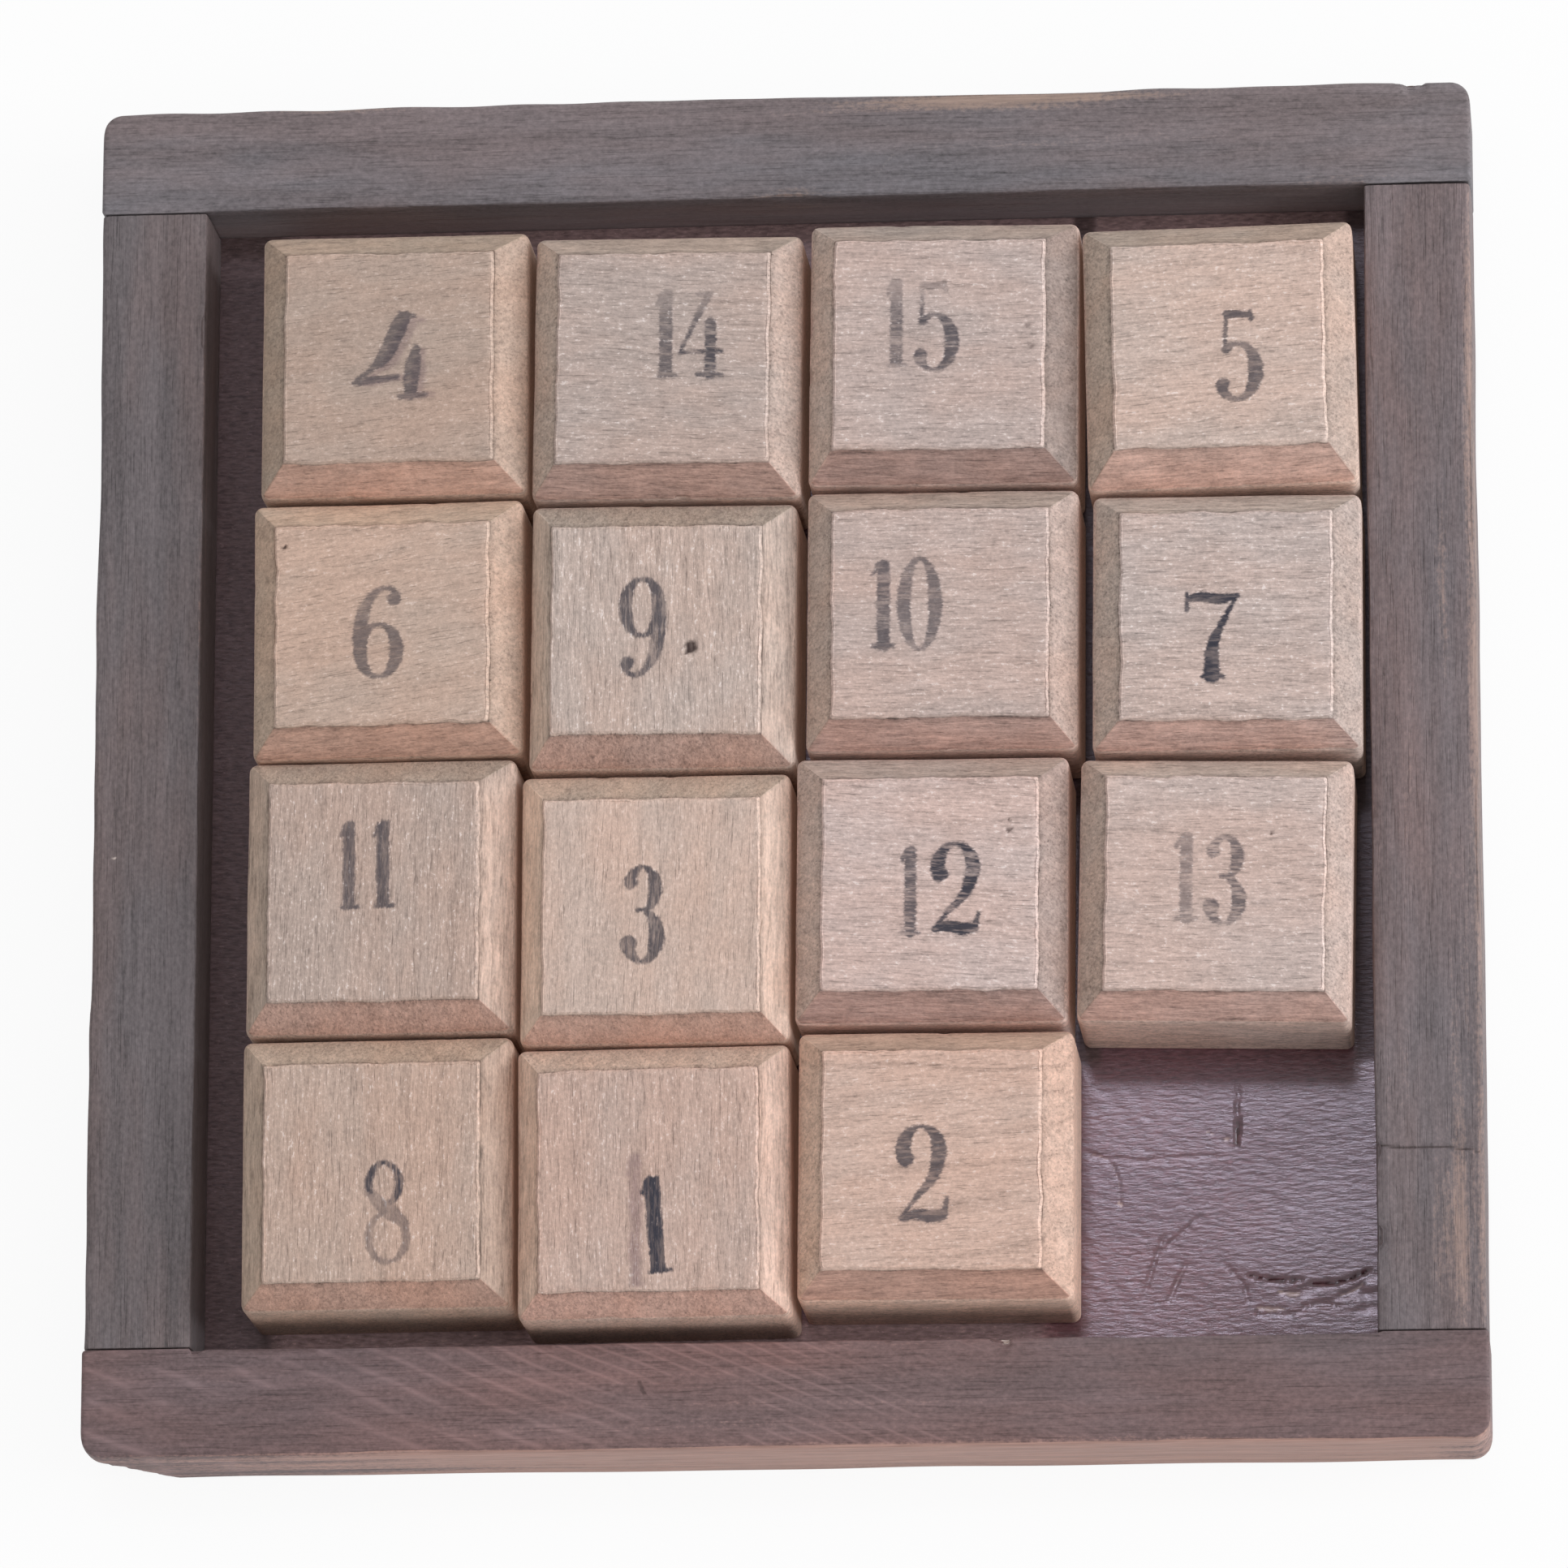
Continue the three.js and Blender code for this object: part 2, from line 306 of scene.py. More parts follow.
# White paper: it shines white to the camera and keeps a share of the light that falls on it as shadow.
def floorPaper(shadowShare):
    n = Nodes(bpy.data.materials.new("floor_paper"))
    n.surface({"Base Color": (0.9, 0.9, 0.9, 1), "Roughness": 0.9, "Specular IOR Level": 0.0})
    glow = n.put("ShaderNodeEmission", {"Color": (1, 1, 1, 1), "Strength": 1.0})
    share = n.times(seenBy(n, "Camera", "Glossy", "Transmission"), 1 - shadowShare)
    paper = n.tree.nodes["Principled BSDF"].outputs[0]
    mixed = n.put("ShaderNodeMixShader", {0: share, 1: paper, 2: glow.outputs[0]})
    n.fill(n.tree.nodes["Material Output"], {"Surface": mixed.outputs[0]})
    return n.owner


# A wide floor just below the part.
def makeFloor(look):
    half = look["floorSize"] / 2
    plan = ((-half, -half), (half, -half), (half, half), (-half, half))
    corners = [(*corner, -look["floorGap"]) for corner in plan]
    makePiece("floor", corners, [[(0, 1, 2, 3)]], floorPaper(look["floorShadow"]))


bpy.context.scene.view_settings.view_transform = "Standard"
for make in (makeCamera, makeLamps, makeWorld, makeFloor):
    make(stageLook)
print("stage: camera, lamps and floor")


# Numerals are pen strokes in a box about 10 high: rows of x, y and half width. This is a straight stroke.
def line(x0, y0, x1, y1, wide0, wide1=None):
    t = np.linspace(0, 1, 40)
    wide1 = wide0 if wide1 is None else wide1
    return np.stack([x0 + (x1 - x0) * t, y0 + (y1 - y0) * t, wide0 + (wide1 - wide0) * t], -1)


# An ellipse's arc; the stroke swells at the left and right, as a broad pen's does.
def bow(x, y, reachX, reachY, start, end, thin, thick):
    a = np.radians(np.linspace(start, end, 90))
    wide = thin + (thick - thin) * np.abs(np.cos(a)) ** 1.6
    return np.stack([x + reachX * np.cos(a), y + reachY * np.sin(a), wide], -1)


# A smooth curve through points of x, y and half width.
def sweep(*points):
    p = np.array(points, float)
    t = np.linspace(0, len(p) - 1, 40 * (len(p) - 1))
    k = np.clip(t.astype(int), 0, len(p) - 2)
    f = (t - k)[:, None]
    before, after = p[np.maximum(k - 1, 0)], p[np.minimum(k + 2, len(p) - 1)]
    a, b = p[k], p[k + 1]
    return 0.5 * (2 * a + (b - before) * f + (2 * before - 5 * a + 4 * b - after) * f**2
                  + (3 * a - before - 3 * b + after) * f**3)


def ball(x, y, radius):
    return np.array([(x, y, radius)])


sixStrokes = [
    bow(0.05, -1.95, 1.75, 2.8, 0, 360, 0.2, 0.62),
    bow(0.75, -0.4, 2.45, 5.15, 185, 75, 0.2, 0.66),
    ball(1.55, 3.55, 0.62), line(1.5, 4.5, 1.75, 3.9, 0.2, 0.4),
]
numerals = {
    "0": [bow(0, 0, 1.75, 4.75, 0, 360, 0.2, 0.66)],
    "1 broad": [line(-0.35, 4.6, -0.3, -4.7, 0.32), line(0.15, 4.75, 0.2, -4.7, 0.36),
                line(0.62, 4.8, 0.68, -4.7, 0.3), line(-0.5, 4.5, -0.95, 3.4, 0.28, 0.12),
                line(-0.75, -4.85, 1.5, -4.75, 0.2)],
    "1": [line(0.25, 4.75, 0.25, -4.7, 0.68), line(-0.45, 4.8, 0.3, 4.8, 0.16),
          line(-0.3, 4.7, -0.95, 3.75, 0.3, 0.12), line(-0.95, -4.8, 1.45, -4.8, 0.2)],
    "2": [ball(-1.45, 1.6, 0.68), bow(0.05, 2.35, 1.85, 2.45, 200, -15, 0.2, 0.7),
          sweep((1.85, 1.9, 0.68), (1.1, -0.4, 0.5), (-0.6, -2.3, 0.28), (-2.1, -4.2, 0.2)),
          sweep((-2.1, -4.35, 0.3), (-0.8, -4.0, 0.5), (0.7, -4.3, 0.62), (2.0, -4.2, 0.5)),
          line(2.1, -4.1, 2.5, -2.6, 0.4, 0.1)],
    "3": [ball(-1.4, 3.25, 0.62), bow(-0.1, 2.6, 1.5, 2.2, 165, -75, 0.2, 0.66),
          line(-0.6, 0.42, 0.5, 0.42, 0.2), bow(-0.15, -2.3, 1.75, 2.55, 75, -165, 0.2, 0.74),
          ball(-1.55, -2.9, 0.68)],
    "4": [line(0.75, 4.5, -2.25, -1.9, 0.42, 0.16), line(-2.3, -2.1, 2.4, -2.05, 0.18),
          line(1.15, 1.3, 1.15, -4.7, 0.6), line(-0.3, -4.8, 2.5, -4.8, 0.2),
          line(-0.35, 4.75, 1.2, 4.75, 0.2)],
    "4 smeared": [
        sweep((1.9, 4.6, 0.4), (1.2, 3.6, 0.8), (-0.5, 0.1, 0.75), (-2.2, -1.6, 0.3), (-3.8, -2.8, 0.25)),
        sweep((-4.1, -3.05, 0.22), (-2.6, -2.8, 0.42), (1.0, -2.4, 0.25)), line(1.2, 4.75, 2.8, 4.5, 0.25),
        sweep((3.05, 0.8, 0.4), (2.6, -1.7, 0.8), (2.4, -4.3, 0.65)), line(1.2, -4.7, 4.2, -4.45, 0.28)],
    "5": [line(-1.3, 4.45, 0.9, 4.5, 0.42, 0.34), line(1.05, 4.85, 1.2, 4.0, 0.12),
          line(-1.4, 4.5, -1.45, 0.7, 0.2), bow(-0.1, -1.7, 1.95, 3.0, 128, -140, 0.2, 0.7),
          ball(-1.55, -3.1, 0.62)],
    "6": sixStrokes,
    "7": [sweep((-2.3, 4.25, 0.34), (-1.0, 4.5, 0.5), (0.9, 4.2, 0.5), (2.5, 4.5, 0.28)),
          line(-2.45, 4.85, -2.5, 2.9, 0.16), line(2.5, 4.5, 0.7, 0.6, 0.2, 0.34),
          sweep((0.75, 0.7, 0.34), (0.1, -1.4, 0.6), (0.0, -4.6, 0.8)), line(-0.9, -4.8, 1.15, -4.8, 0.18)],
    "8 upper": [bow(0, 0, 1.7, 2.2, 0, 360, 0.24, 0.42)],
    "8 lower": [bow(0, 0, 2.0, 2.5, 0, 360, 0.22, 0.38),
                sweep((-2.0, 4.5, 0.35), (0, 2.8, 0.75), (1.9, 1.3, 0.4))],
    "9": [stroke * (-1, -1, 1) for stroke in sixStrokes],
}


hairline = 0.25  # least half width of a stroke
noInk = 9.0  # distance where no stroke is near


# A numeral stretched to a width and height, turned, and set at a place on the block.
def setNumeral(sign, x, y, wide, tall, turn):
    pen = np.concatenate(numerals[sign])
    low = (pen[:, :2] - pen[:, 2:]).min(0)
    high = (pen[:, :2] + pen[:, 2:]).max(0)
    scale = np.array([wide, tall]) / (high - low)
    flat = (pen[:, :2] - (low + high) / 2) * scale
    half = np.maximum(pen[:, 2:] * scale.mean() * 1.15, hairline)
    return np.concatenate([turned(flat, math.radians(turn)) + (x, y), half], axis=1)


# Distance to the nearest edge of the strokes, below zero inside them.
def inkDistance(points, pen):
    distance = np.full(len(points), noInk)
    near = np.flatnonzero(((points > pen[:, :2].min(0) - 2) & (points < pen[:, :2].max(0) + 2)).all(1))
    gap = np.linalg.norm(points[near, None] - pen[None, :, :2], axis=-1) - pen[None, :, 2]
    distance[near] = gap.min(1)
    return distance


# Depth and tone of scratches at points in plan: full inside each stroke, and nothing beyond its edge.
def scratches(plan, grooves, outside, inside, ragged=0.0):
    cut, scar = np.zeros(len(plan)), np.zeros(len(plan))
    for path, deep, tone in grooves:
        hit = ease(inkDistance(plan, sweep(*path)) + ragged, outside, inside)
        cut += deep * hit
        scar += tone * hit
    return cut, scar


# What all blocks share, and then each block's own look. bevels: width of the bevel at the left, right, back
# and front; sides: tone of those bevels, partly the wood's own and partly painted shade and light. prints:
# sign, x, y, width, height, turn, tone; fade is how far the ink pales towards their tops. ghosts are faint
# second prints in the same form, spots are x, y, radius and darkness.
blockLook = {
    "height": 17, "drop": 3.5, "groove": 0.36, "footInset": 0.4, "cornerRadius": 0.9, "topRadius": 0.2,
    "rim": 0.36, "drift": 0.09, "fine": 0.2, "coarse": 0.5, "sharpAngle": 30, "ringGap": 3.6,
    "ink": (54, 53, 64), "ghostInk": (106, 80, 92), "glint": (242, 231, 226), "spotTone": (62, 46, 42),
    "ruddyFrontShade": (0.93, 0.8, 0.78), "oliveShade": (0.9, 0.93, 0.9), "glow": 0.025, "glowTint": (1.0, 0.62, 0.45, 1),
    "rings": 0.04, "fibre": 1.2, "patchy": 0.4, "fade": 0.0, "ghosts": [], "spots": [],
    "bevelStart": 0.125, "hollow": 0.035, "spotDepth": 0.25, "borderDip": 0.03, "fibreDepth": 0.012,
}
blockLooks = {
    4: {"bevels": (2.85, 3.5, 2.9, 3.15), "sides": (1.0, 1.15, 1.05, 1.25), "tone": (185, 161, 145),
        "grain": 5, "rings": 0.02, "fibre": 0.5, "prints": [("4 smeared", -0.1, 0.25, 8.4, 9.9, 0, 0.74)],
        "ghosts": [("4 smeared", 0.7, 0.0, 8.2, 9.4, 0, 0.4)]},
    14: {"bevels": (2.75, 3.2, 2.75, 3.3), "sides": (1.1, 1.1, 1.0, 0.95), "tone": (190, 170, 159),
        "grain": -2, "rings": 0.03, "patchy": 0.8, "fade": 0.5,
        "prints": [("1 broad", 0.25, 2.9, 2.3, 10, 0, 0.75), ("4", 4, 2.65, 4.9, 9.7, 0, 0.9)]},
    15: {"bevels": (2.75, 3.45, 2.65, 3.25), "sides": (1.05, 0.65, 0.9, 0.8), "tone": (197, 176, 166),
        "grain": 0, "rings": 0.03, "patchy": 0.75, "fade": 0.5,
        "prints": [("1 broad", -4.8, 2.63, 2.2, 10, 0, 0.75), ("5", -0.55, 2.23, 4.7, 10.1, 0, 0.85)],
        "spots": [(9.2, 2.28, 0.35, 0.5), (9.6, -0.02, 0.45, 0.4), (7, -1.32, 0.3, 0.3)]},
    5: {"bevels": (3.05, 3.1, 2.9, 3.85), "sides": (0.95, 0.85, 0.8, 1.05), "tone": (206, 182, 168),
        "grain": 3, "rings": 0.02, "fibre": 1.1, "prints": [("5", 2.33, -0.93, 4.9, 10.2, -3, 0.85)]},
    6: {"bevels": (2.7, 3.3, 3.2, 3.0), "sides": (1.0, 1.05, 1.2, 1.05), "tone": (198, 171, 153),
        "grain": 8, "fibre": 0.6, "prints": [("6", -0.65, -1.04, 5.4, 10.3, 0, 0.72)],
        "spots": [(-10.8, 8.76, 0.3, 0.9)]},
    9: {"bevels": (2.45, 3.45, 3.15, 3.2), "sides": (1.1, 1.05, 0.9, 0.95), "tone": (198, 177, 164),
        "grain": 91, "fibre": 1.3, "patchy": 0.7, "prints": [("9", -1.93, 0.28, 5, 11.1, 0, 0.87)],
        "spots": [(3.32, -2.02, 0.95, 1)]},
    10: {"bevels": (2.85, 2.95, 2.8, 3.0), "sides": (1.0, 1.0, 1.0, 0.95), "tone": (199, 176, 165),
        "grain": 0, "patchy": 0.6,
        "prints": [("1", -6.11, 0.91, 2.6, 10, 0, 0.8), ("0", -2.21, 1.06, 4.7, 10.4, 0, 0.72)]},
    7: {"bevels": (3.05, 2.9, 2.7, 2.6), "sides": (1.0, 0.85, 1.0, 1.05), "tone": (200, 180, 170),
        "grain": 0, "rings": 0.05, "fibre": 1.5, "patchy": 0.3,
        "prints": [("7", -1.41, -2.38, 5.8, 9.9, 0, 1)]},
    11: {"bevels": (2.65, 3.6, 3.05, 3.05), "sides": (1.05, 1.15, 1.0, 1.1), "tone": (190, 167, 153),
        "grain": 88, "rings": 0.06,
        "prints": [("1 broad", -2.96, 2.86, 2.1, 9.7, 0, 0.8), ("1 broad", 0.74, 2.91, 2.3, 9.6, 0, 0.85)]},
    3: {"bevels": (2.55, 2.85, 3.3, 2.55), "sides": (1.25, 1.15, 1.0, 1.0), "tone": (207, 181, 165),
        "grain": 88, "rings": 0.0, "fibre": 0.5, "patchy": 0.45,
        "prints": [("3", -1.04, -1.26, 4.5, 10.8, 0, 0.88)]},
    12: {"bevels": (2.95, 3.0, 2.9, 2.95), "sides": (0.95, 0.75, 0.9, 0.8), "tone": (208, 184, 174),
        "grain": -3, "rings": 0.05, "patchy": 0.75,
        "prints": [("1", -2.05, -0.88, 2.1, 10, 0, 0.85), ("2", 2.75, -0.58, 5.2, 10.1, 0, 0.98)],
        "spots": [(8.5, 6.72, 0.22, 0.9), (8.5, 5.82, 0.3, 0.8)]},
    13: {"bevels": (2.9, 2.65, 2.55, 2.75), "sides": (0.95, 0.9, 1.05, 1.0), "tone": (204, 181, 170),
        "grain": 0, "rings": 0.05, "patchy": 1.0,
        "prints": [("1", -2.94, 0.66, 2.5, 9.9, 0, 0.55), ("3", 1.16, 0.41, 4.4, 9.7, 0, 0.78)],
        "spots": [(5.96, 5.46, 0.25, 0.8)]},
    8: {"bevels": (2.6, 3.1, 3.2, 2.45), "sides": (1.05, 0.95, 1.1, 1.0), "tone": (195, 168, 151),
        "grain": 90, "rings": 0.05, "fibre": 1.0, "patchy": 0.6,
        "prints": [("8 lower", 1.58, -6.35, 4.8, 8, 0, 0.55), ("8 upper", 1.2, -1.7, 4.1, 5, 0, 0.95)]},
    1: {"bevels": (2.4, 3.05, 3.0, 2.3), "sides": (1.3, 1.25, 1.2, 1.1), "tone": (200, 172, 157),
        "grain": 90, "fibre": 1.0, "patchy": 0.2, "prints": [("1 broad", 0.6, -5.21, 2.7, 10.6, 4, 1)],
        "ghosts": [("1 broad", -1.5, -4.66, 1.7, 14.6, 0, 0.5)]},
    2: {"bevels": (2.75, 3.2, 2.55, 2.75), "sides": (1.1, 1.0, 0.95, 0.85), "tone": (211, 180, 163),
        "grain": 3, "rings": 0.09, "fibre": 0.8, "prints": [("2", -1.17, -1.46, 5.3, 10.6, 2, 0.85)]},
}


# Pale fine-grained wood with a greyed top and warmer cut bevels, tinted with painted shade, worn edges that
# are partly painted highlight, painted glints, a faint painted glow on the sides, and worn blue-black ink.
def blockWood(number, look, centre, turn):
    n = startMaterial(f"block_wood_{number:02d}", centre, look["grain"] + turn, grainStart(500 + number))
    flat = n.at("flat")
    broad, mottle, patch = n.noise(0.05, 0.11), n.noise(0.3, 0.36), n.noise(0.3, 0.6)
    streak = n.noise(0.06, 0.9, 4.0, 0.6, 0.2)
    fibre = n.noise(0.4, 3.4, 3.0, 0.65)
    speck = n.noise(1.9, 2.9, 2.0, 0.75)
    pore = n.noise(0.45, 6.0, 1.0, 0.5, 0.4)
    scuff = n.noise(0.22, 1.6, 3.0, 0.65, 0.6)

    # Year rings: evenly spaced lines across the grain, bent, and broken by the broad noise.
    place = n.put("ShaderNodeSeparateXYZ", {0: n.grain}).outputs
    across = n.add(place["Y"], (n.noise(0.03, 0.1, 2.0, 0.5), 9.0), (place["Z"], 0.6))
    ring = n.calc("FRACT", n.times(across, 1 / look["ringGap"]))
    ringLine = n.times(n.times(n.ease(ring, 0.72, 0.93), n.ease(ring, 1.0, 0.93)), n.ease(broad, 0.4, 0.6))

    tone = np.array(look["tone"]) * (0.995, 1.012, 1.03)
    wood = n.blend(flat, paint(*(tone * (1.0, 0.99, 0.98))), paint(*tone))
    colour = n.blend(n.ease(broad, 0.35, 0.65), wood, n.tinted(wood, (1.03, 0.965, 0.93)))
    # Painted shade colour: the front bevels are tinted ruddy and the left and back bevels olive, for the
    # colour of the light that falls on them.
    for side in ("ruddyFrontShade", "oliveShade"):
        colour = n.blend(n.at(side), colour, n.tinted(colour, look[side]))
    rubbed = n.sway(0.0, (scuff, 0.75), (mottle, 0.45))
    # Worn edges are lighter: partly real wear, partly painted highlight where the light falls and painted
    # light on the sides.
    worn = n.times(n.at("worn"), n.ease(speck, 0.28, 0.6))
    shade = n.add(n.sway(1.0, (streak, 0.34)), (rubbed, n.calc("SUBTRACT", 1.15, flat)))
    shade = n.sway(shade, (fibre, 0.78 * look["fibre"]), (speck, 0.82), (broad, 0.18))
    # Painted shade: the groove line round the flat and the lower sides are darkened.
    shade = n.add(shade, (n.ease(pore, 0.6, 0.74), -0.22), (ringLine, -2.2 * look["rings"]), (worn, 0.3),
                  (n.at("paintedShade"), -0.5))
    # Painted shade and light: each bevel is darkened or lightened by its own factor from the sides table.
    colour = n.shaded(colour, n.times(shade, n.at("bevelToneAndShade")))
    # Painted highlight: pale glints are blended into the colour of the top along the fibres.
    glint = n.times(n.ease(n.add(speck, (fibre, 0.5)), 0.87, 0.98), flat)
    colour = n.blend(n.times(glint, 0.5 * look["fibre"]), colour, paint(*look["glint"]))
    spots = n.calc("MULTIPLY", n.at("spots"), n.add(0.6, (fibre, 0.7)), True)
    colour = n.blend(spots, colour, paint(*look["spotTone"]))

    # Ink: ragged at its edges and thin in patches, over fainter ghosts.
    thin = n.add(n.times(patch, 0.5), (fibre, 0.85))
    ghost = n.times(n.ease(n.sway(n.at("ghost"), (patch, 1.2)), 0.3, -0.4), n.at("ghostTone"))
    colour = n.blend(n.times(ghost, n.ease(thin, 0.3, 0.75)), colour, paint(*look["ghostInk"]))
    rag = n.sway(n.at("ink"), (fibre, 0.7), (speck, 0.4))
    cover = n.times(n.ease(rag, 0.16, -0.16), n.at("inkTone"))
    cover = n.times(cover, n.ease(thin, 0.48, 0.76, 0.92 - 0.85 * look["patchy"], 1.0))
    colour = n.blend(cover, colour, paint(*look["ink"]))

    height = n.add(n.times(fibre, 0.8), (speck, 0.6), (n.ease(pore, 0.6, 0.75), -0.5))
    n.finish(colour, n.add(0.5, (fibre, 0.22)), height, 0.16, 0.6)
    # Painted light: the left and right sides glow a little, standing in for light thrown between the close
    # sides of two blocks.
    glow = n.times(n.at("paintedGlowSides"), look["glow"])  # light thrown between the close sides of two blocks
    n.surface({"Emission Strength": glow, "Emission Color": look["glowTint"], "Specular IOR Level": 0.35})
    n.owner.cycles.emission_sampling = "NONE"
    return n.owner


# A block's outline as a loop of points on the edges of a rectangle, with its corners rounded:
# beyond the corner circle's middle a point is drawn in to the circle.
def roundCorners(loop, low, high, radius):
    middle, half = (low + high) / 2, (high - low) / 2
    away = loop - middle
    past = np.maximum(np.abs(away) - (half - radius), 0)
    length = np.linalg.norm(past, axis=1)
    cornered = (past > 0).all(1)
    pull = np.where(cornered, radius / np.maximum(length, 1e-9), 1.0)[:, None]
    inner = np.abs(away) - past
    return middle + np.sign(away) * (inner + past * pull)


# A block: a flat top patch on a grid of lines, then its border carried outwards and down as rows: a rolled
# step, a narrow groove, the flat bevel, the arris, the side and the foot. Each row lies a share of the way
# from the flat's border to the block's outer square.
def blockSurface(number, look, half):
    tall, fall, groove = (look[k] for k in ("height", "drop", "groove"))
    left, right, back, front = np.array(look["bevels"]) + look["rim"]
    low, high = np.array([left, front]) - half, half - np.array([right, back])
    pens = [setNumeral(*p[:6]) for p in look["prints"]]
    ghosts = [setNumeral(*p[:6]) for p in look["ghosts"]]
    dots = [np.array([[x, y, radius]]) for x, y, radius, _ in look["spots"]]
    marks = np.concatenate(pens + ghosts + dots)
    inkLow, inkHigh = marks[:, :2].min(0) - 1, marks[:, :2].max(0) + 1

    def spacing(v, axis):
        inked = (v > inkLow[axis]) & (v < inkHigh[axis])
        border = np.minimum(v - low[axis], high[axis] - v)
        return np.where(inked | (border < 1.0), look["fine"], look["coarse"])

    square, numbers, loop = planGrid(low, high, spacing)
    border = np.minimum(square - low, high - square).min(1)
    seed = 40 * number
    along = turned(square, -math.radians(look["grain"]))
    spots = np.zeros(len(square))
    for x, y, radius, dark in look["spots"]:
        gap = np.linalg.norm(square - (x, y), axis=1) + 0.12 * ripple(square, seed + 3, 0.9)
        spots = np.maximum(spots, dark * ease(gap, radius, 0.45 * radius))
    sunk = look["hollow"] * (1 - ripple(square, seed + 1, 9.0)) + look["spotDepth"] * spots
    sunk += look["borderDip"] * np.exp(-border / 0.12)
    sunk = np.maximum(sunk + look["fibreDepth"] * (1 - ripple(along * (0.12, 1.0), seed + 2, 1.1)), 0)

    inner = square[loop]
    outer = (2 * (inner - low) / (high - low) - 1) * half
    around = outer / np.linalg.norm(outer, axis=1, keepdims=True) * half.min()
    wear = 0.5 + 0.5 * ripple(around, seed + 4, 16.0)
    nick = ease(ripple(around, seed + 5, 5.0), 1.0, 1.9)
    straight = 1 + ripple(around, seed + 6, 11.0)
    steps = [(0.02, 0.03), (0.05, 0.1), (0.08, 0.2), (0.1, groove - 0.08), (0.112, groove)]
    start = look["bevelStart"]
    slope = (fall - groove) / (1 - start)
    steps += [(r, groove - 0.04 + slope * (r - start)) for r in (start, 0.26, 0.42, 0.58, 0.74, 0.87, 0.95)]
    steps += [(0.985, fall + 0.02), (1.0, fall + 0.28)]
    steps += [(1.0, d) for d in np.linspace(fall + 1.0, tall - 0.9, 8)]
    steps += [(1.0, tall - look["footInset"]), (0.9, tall - 0.12), (0.86, tall)]
    shares, drops = np.array(steps).T
    arris = np.exp(-((shares - 0.97) / 0.035) ** 2) * (drops < fall + 0.5)
    bevel = (shares > 0.12) & (shares < 0.96)
    radii = np.where(shares < 0.12, look["topRadius"], look["cornerRadius"] * ease(shares, 0.82, 1.0))
    drift = [ripple(square, seed + k, 7.0) + 0.4 * ripple(square, seed + k, 1.8) for k in (7, 8)]
    drift = look["drift"] * np.stack(drift, -1)
    skirt = []
    for share, depth, edge, onBevel, radius in zip(shares, drops, arris, bevel, radii):
        row = roundCorners(inner + share * (outer - inner), low + share * (-half - low),
                           high + share * (half - high), radius)
        inward = edge * (0.04 + 0.1 * wear + 0.3 * nick)
        row = row * (1 - inward / half.min())[:, None] + (1 - share) * drift[loop]
        down = depth + edge * (0.03 + 0.08 * wear) + 0.04 * onBevel * straight
        skirt.append(np.concatenate([row, -down[:, None]], axis=1))
    skirt = np.array(skirt)
    skirt[-1, :, 2] = -tall
    square[loop] = roundCorners(inner, low, high, look["topRadius"])
    square += drift * np.exp(-border / 0.6)[:, None]
    points = np.concatenate([np.column_stack([square, -sunk]), skirt.reshape(-1, 3)])
    below = len(square) + np.arange(len(shares) * len(loop)).reshape(len(shares), -1)
    rings = np.concatenate([loop[None], below])
    faces = [gridQuads(numbers), gridQuads(rings, wrap=True)[:, ::-1], rings[-1:, ::-1]]

    ink, tone = np.full(len(square), noInk), np.ones(len(square))
    for pen, (*_, strength) in zip(pens, look["prints"]):
        distance = inkDistance(square, pen)
        paler = 1 - look["fade"] * ease(square[:, 1], pen[:, 1].mean(), pen[:, 1].max())
        tone = np.where(distance < ink, strength * paler, tone)
        ink = np.minimum(ink, distance)
    ghost, ghostTone = np.full(len(square), noInk), np.zeros(len(square))
    for pen, (*_, strength) in zip(ghosts, look["ghosts"]):
        ghost = np.minimum(ghost, inkDistance(square, pen))
        ghostTone[:] = strength
    atLeft, atRight = outer[:, 0] < 0.01 - half[0], outer[:, 0] > half[0] - 0.01
    atFront, atBack = outer[:, 1] < 0.01 - half[1], outer[:, 1] > half[1] - 0.01
    # Painted highlight: edges facing the right and back, where the light falls, are lit more than at the left
    # and front.
    lit = 0.2 + 0.8 * atRight + 0.4 * atBack
    # Each bevel's factor from sides: partly the wood's own tone, partly painted shade and light.
    bevelToneAndShade = np.select([atLeft, atRight, atBack, atFront], look["sides"])
    rimLit = 0.2 + (high - square < border[:, None] + 0.01) @ (0.8, 0.4)
    side = ease(drops, fall, fall + 0.6)

    def onSkirt(rowValues, loopValues=1.0):
        return (rowValues[:, None] * (loopValues + np.zeros(len(loop)))).ravel()

    def joined(flatValues, skirtValues):
        return np.concatenate([flatValues + np.zeros(len(square)), skirtValues])

